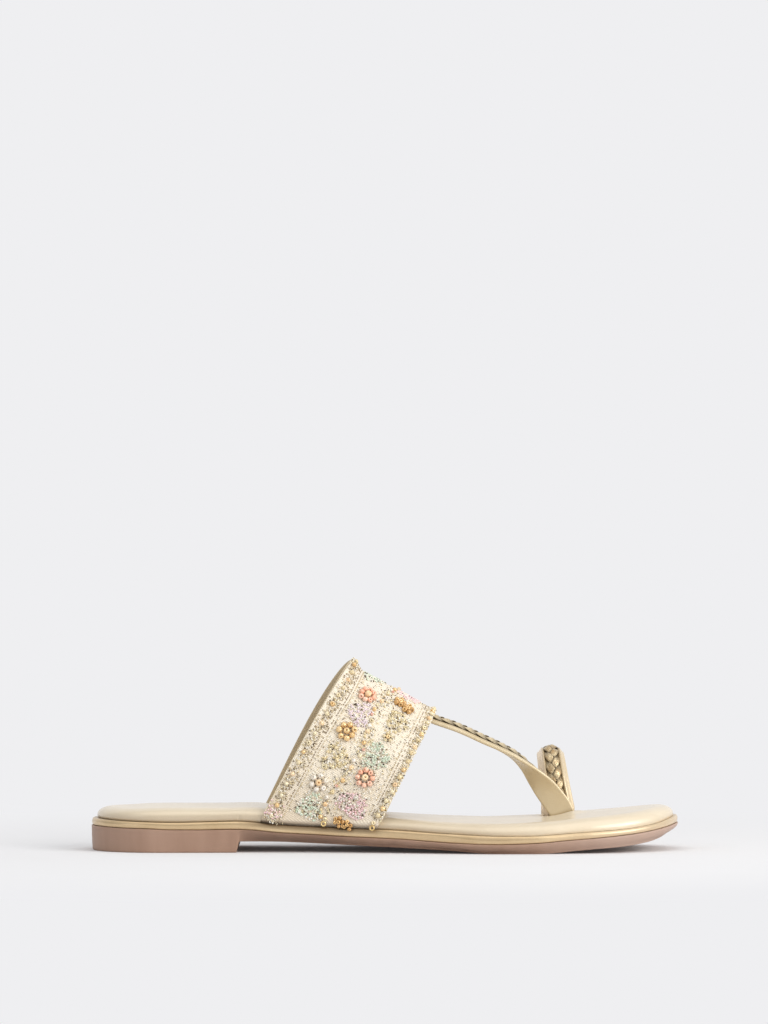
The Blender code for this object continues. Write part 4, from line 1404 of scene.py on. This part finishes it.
def makeBeading():
    # Each kind of bead as one piece, from its rows: the band gives a place and a normal, tilt
    # and aim turn the bead, and its tone goes to its points.
    shapes = {
        "beads": beadShape(10, 7, 0.16, 0.86),
        "ring beads": beadShape(12, 8, 0.42, 0.42),
        "seeds": beadShape(6, 5, 0.22, 0.8),
        "bronze seeds": beadShape(5, 4, 0.2, 0.8),
        "stitches": stitchShape(),
    }
    for kind, rows in sewn.items():
        share, run, lift, dx, dy, radius, tilt, aim, tone = np.concatenate(rows).T
        places, face = onBand(share, run, lift, dx, dy)
        up, _ = onBand(share, run, lift, dx, dy + 0.3)
        upward = unit(up - places)
        beside = np.cross(upward, face)
        heading = beside * np.cos(aim)[:, None] + upward * np.sin(aim)[:, None]
        axes = face * np.cos(tilt)[:, None] + heading * np.sin(tilt)[:, None]
        shape = shapes.get(kind, shapes[kind.split()[-1]])
        if kind in threads:
            slot, finish = "thread", threads[kind]
            wide = np.full_like(radius, beading["threadRadius"])
            sizes = np.stack([wide, radius, wide], axis=1)
            aims = heading
        else:
            slot, finish = "beads", beadFinish(kind, *beadLooks[kind])
            sizes = np.repeat(radius[:, None], 3, axis=1)
            aims = np.cross(face + 0.01, heading)
        name = "".join(word.capitalize() if n else word for n, word in enumerate(kind.split()))
        patch = copies(shape, places, axes, aims, sizes)
        tones = np.repeat(tone, len(shape[0]))
        pieceOf(name, [patch], finish, attributes={"tone": tones}, closeSeams=False)


makeBeading()


# The straps and their braids


def carriedStrip(line, across, out, width, look):
    # A strip carried along a line: half round edges and a raised roll along each of them, where
    # the leather is turned over, all bent by crown, which goes evenly from its first to its last
    # value, times the square of the share out from the middle. The roll is a bell with its
    # height, its distance in from the edge and its width.
    radius = look["thick"] / 2
    high, inset, spread = look["roll"]
    flat = (width / 2 - radius)[:, None]
    turn = np.linspace(-np.pi / 2, np.pi / 2, 9)[None]
    share = np.linspace(1, -1, 29)[1:-1][None]
    inward = (1 - np.abs(share)) * flat
    rightA, rightB = flat + radius * np.cos(turn), radius * np.sin(turn) + 0 * flat
    topA, topB = flat * share, radius + high * bell(inward - inset, spread)
    underA, underB = -flat * share, 0 * flat * share - radius
    a = np.concatenate([rightA, topA, -rightA[:, ::-1], underA], axis=1)
    b = np.concatenate([rightB, topB, rightB[:, ::-1], underB], axis=1)
    crown = np.linspace(*look["crown"], len(line))
    bent = b - crown[:, None] * (2 * a / width[:, None]) ** 2
    section = line[:, None] + across[:, None] * a[..., None] + out[:, None] * bent[..., None]
    section = section + out[:, None] * (ripples(section, 14, 41) * 0.08)[..., None]
    # Painted shade: a dark line at the inner foot of each roll, the top darker under and beside the
    # plait, and a contact shadow where the strip meets the pad. Painted light makes it paler beside
    # the plait.
    foot = flat - inset - 0.3 * spread
    edge = bell(np.abs(a) - foot, 0.4) * 0.3
    shade = np.maximum(edge, bell(a, 3.7, 8)) * (b > 0)
    x, y, z = (section[..., k] for k in range(3))
    above = z - shownTop("footbed", x) - footbed["dome"] - byStraps(x, y)
    shade = np.maximum(shade, look["contactShadow"] * bell(above, 0.95))
    beside = eased((2 * np.abs(a) / width[:, None] - 0.45) / 0.3)
    pale = beside * np.where(a > 0, *look["pale"])
    shade, pale = (endsRepeated(part).ravel() for part in (shade, pale))
    return grid(endDrawnIn(section), loopColumns=True), {"shade": shade, "pale": pale}


def flatPlait(line, across, out, base, look):
    # Three flat strands a third of a period apart, base above the line. Each swings across by
    # the sine of its angle and rises and falls by the sine of twice its angle, so that it goes
    # under one and over one. It leans outwards where it turns at an edge and is creased down its
    # middle. Painted shade darkens it where it lies low, along its edges, on its underside and
    # in its crease.
    number = np.arange(int(look["first"] * len(line)), int(look["last"] * len(line)))
    dense = np.linspace(number[0], number[-1], len(number) * 2)
    places = np.arange(len(line))
    line, across, out = (readLine(dense, places, part) for part in (line, across, out))
    run = runAlong(line)
    full = np.minimum(1, 0.3 + np.minimum(run, run[-1] - run) / 3.0)
    turn = np.linspace(0, 2 * np.pi, 16, endpoint=False)[None]
    patches, shades = [], []
    for strand in range(3):
        angle = 2 * np.pi * (run / look["period"] + strand / 3 + look["start"])
        swing = np.sin(angle) * look["swing"] * full
        lift = base + look["thick"] + look["rise"] * (1 + np.sin(2 * angle)) * full
        middle = line + across * swing[:, None] + out * lift[:, None]
        ahead = unit(np.gradient(middle, axis=0))
        lean = (-look["lean"] * np.sin(angle))[:, None]
        beside = unit(np.cross(out, ahead))
        beside = np.where((beside * across).sum(axis=1, keepdims=True) < 0, -beside, beside)
        side = beside * np.cos(lean) + out * np.sin(lean)
        up = out * np.cos(lean) - beside * np.sin(lean)
        a = np.sign(np.cos(turn)) * np.abs(np.cos(turn)) ** 0.8 * look["half"]
        b = np.sign(np.sin(turn)) * np.abs(np.sin(turn)) ** 0.85 * look["thick"]
        b = b + 0 * run[:, None]
        crease = look["crease"] * bell(a, 0.35) * (b > 0)
        size = full[:, None]
        section = middle[:, None] + side[:, None] * (a * size)[..., None]
        section = section + up[:, None] * ((b - crease) * size)[..., None]
        low = (1 - np.sin(2 * angle))[:, None] * 0.27 + 0.75 * (np.abs(a) / look["half"]) ** 4
        shade = low + 0.4 * (b < 0) + crease * 0.8
        patches.append(grid(endDrawnIn(section), loopColumns=True))
        shades.append(endsRepeated(shade).clip(0, 1).ravel())
    return patches, np.concatenate(shades)


strapLook = {
    "light": (224, 208, 176),
    "dark": (207, 188, 151),
    # deep is the colour of the painted shade and of the mottling, pale that of the painted light on
    # the loop's borders
    "deep": (146, 120, 76),
    "pale": (249, 229, 203),
    "patch": 18,
    "mottle": 0.12,
    "grain": 0.7,
    "relief": 0.04,
    "metallic": 0.25,
    "roughness": (0.3, 0.42),
    "coat": 0.2,
}
plaitLook = {
    "light": (246, 227, 186),
    "dark": (184, 150, 104),
    # deep is the colour of the painted shade between and under the strands and of the mottling,
    # pale that of the painted light on them
    "deep": (44, 30, 14),
    "pale": (251, 232, 192),
    "patch": 2.3,
    "mottle": 0.85,
    "grain": 0.75,
    "relief": 0.11,
    "metallic": 0.6,
    "roughness": (0.28, 0.44),
    "coat": 0.1,
}
plait = {
    "period": 15.3,
    "swing": 1.95,
    "rise": 0.5,
    "thick": 0.5,
    "half": 1.64,
    "lean": 0.5,
    "crease": 0.12,
    "start": 0.1,
    # how much paler the strands are by painted light
    "pale": 0.0,
}
strapFinish = leatherFinish("pale gold strap leather", strapLook)
plaitFinish = leatherFinish("plaited gold leather", plaitLook)


def makeStraps():
    # For either strap, its strip of leather and the plait laid along it.
    for name, node, ribbon, look in (
        ("toeStrap", "toe_strap", strapRibbon(), strap),
        ("toeLoop", "toe_loop", loopRibbon(), loop),
    ):
        line, across, out, width = ribbon
        strip, tones = carriedStrip(line, across, out, width, look)
        pieceOf(name, [strip], strapFinish, [node], tones)
        own = plait | look["plait"]
        strands, shades = flatPlait(line, across, out, look["thick"] / 2, own)
        # The plait's shade attribute is painted shade, its pale attribute painted light.
        pieceOf(
            name + "Plait", strands, plaitFinish, [node + "_braid"],
            {"shade": shades, "pale": own["pale"] + 0 * shades},
        )


makeStraps()


# Floor, lights and camera

studio = {
    "reach": 5.0,    # how far the floor goes to either side and to the front
    "floorBack": 1.6,
    "sweep": 1.2,
    "top": 4.0,
    "floorTone": (230, 230, 231),
    "floorPale": (233, 233, 235),
    "backdropTone": (239, 239, 241),
    "blend": (0.11, 0.36),    # from where to where the floor turns into the even backdrop
    "leastGlow": 0.02,
    "world": (0.98, 0.985, 1.0),
    "worldStrength": 0.46,
    # name, place, size, watts, colour
    "lamps": [
        ("top softbox", (0.1, -0.5, 1.9), (2.6, 2.0), 17, (1.0, 0.99, 0.97)),
        ("key from the toe side", (1.8, -1.2, 0.95), (1.8, 1.1), 37, (1.0, 0.98, 0.95)),
        ("fill from the heel side", (-1.8, -1.6, 0.9), (1.2, 1.2), 6, (0.97, 0.98, 1.0)),
    ],
    "eye": (-0.0005, -2.56, 0.1435),
    "frameHeight": 0.436,
}


def makeStudio():
    # The floor runs back, turns up by a quarter circle and goes on as the backdrop. It takes
    # light and shadow near the sandal and glows evenly further off.
    turn = np.linspace(0, np.pi / 2, 25)
    back, radius, reach = studio["floorBack"], studio["sweep"], studio["reach"]
    y = np.concatenate([[-reach], back + radius * np.sin(turn), [back + radius]])
    z = np.concatenate([[0.0], radius * (1 - np.cos(turn)), [studio["top"]]])
    x = np.array([-reach, reach])
    points = np.stack(np.broadcast_arrays(x[None], y[:, None], z[:, None]), axis=-1)
    flat, faces = grid(points)
    mesh = bpy.data.meshes.new("studioFloor")
    mesh.from_pydata(flat.tolist(), [], faces[:, ::-1].tolist())
    mesh.shade_smooth()
    finish = Finish(
        "pale floor", studio, Metallic=0.0, Specular_IOR_Level=0.0, Roughness=1.0,
        Emission_Strength=1.0,
    )
    length = {"operation": "LENGTH"}
    away = finish.node("ShaderNodeVectorMath", length, {0: finish.place}, "Value")
    near, far = studio["blend"]
    away = ((away - near) / (far - near)).clipped()
    least = studio["leastGlow"]
    away = away * away * (3 - away * 2) * (1 - least) + least
    black = (0.0, 0.0, 0.0, 1.0)
    faint = finish.mix(finish.noise(60, detail=2), "floorTone", "floorPale")
    finish.set("Base_Color", finish.mix(away, faint, black))
    finish.set("Emission_Color", finish.mix(away, black, "backdropTone"))
    mesh.materials.append(finish.material)
    floor = bpy.data.objects.new("studioFloor", mesh)
    bpy.context.scene.collection.objects.link(floor)


def makeLights():
    # An even pale world and soft rectangular lamps, each turned towards the sandal.
    world = bpy.data.worlds.new("studio air")
    world.use_nodes = True
    air = world.node_tree.nodes["Background"]
    air.inputs["Color"].default_value = (*studio["world"], 1.0)
    air.inputs["Strength"].default_value = studio["worldStrength"]
    bpy.context.scene.world = world
    for name, place, size, watts, colour in studio["lamps"]:
        lamp = bpy.data.lights.new(name, "AREA")
        lamp.shape = "RECTANGLE"
        lamp.size, lamp.size_y = size
        lamp.energy, lamp.color = watts, colour
        holder = bpy.data.objects.new(name, lamp)
        holder.location = place
        holder.rotation_euler = (-holder.location).to_track_quat("-Z", "Y").to_euler()
        bpy.context.scene.collection.objects.link(holder)


def makeCamera():
    # A level camera on the outer side. Its focal length shows frameHeight metres at the sandal.
    lens = bpy.data.cameras.new("side view")
    lens.sensor_fit = "VERTICAL"
    lens.sensor_height = 36.0
    lens.lens = lens.sensor_height * -studio["eye"][1] / studio["frameHeight"]
    lens.clip_end = 20.0
    holder = bpy.data.objects.new("side view", lens)
    holder.location = studio["eye"]
    holder.rotation_euler = (np.pi / 2, 0.0, 0.0)
    bpy.context.scene.collection.objects.link(holder)
    bpy.context.scene.camera = holder
    bpy.context.scene.view_settings.view_transform = "Standard"


makeStudio()
makeLights()
makeCamera()
print("studio: floor, lights and camera")
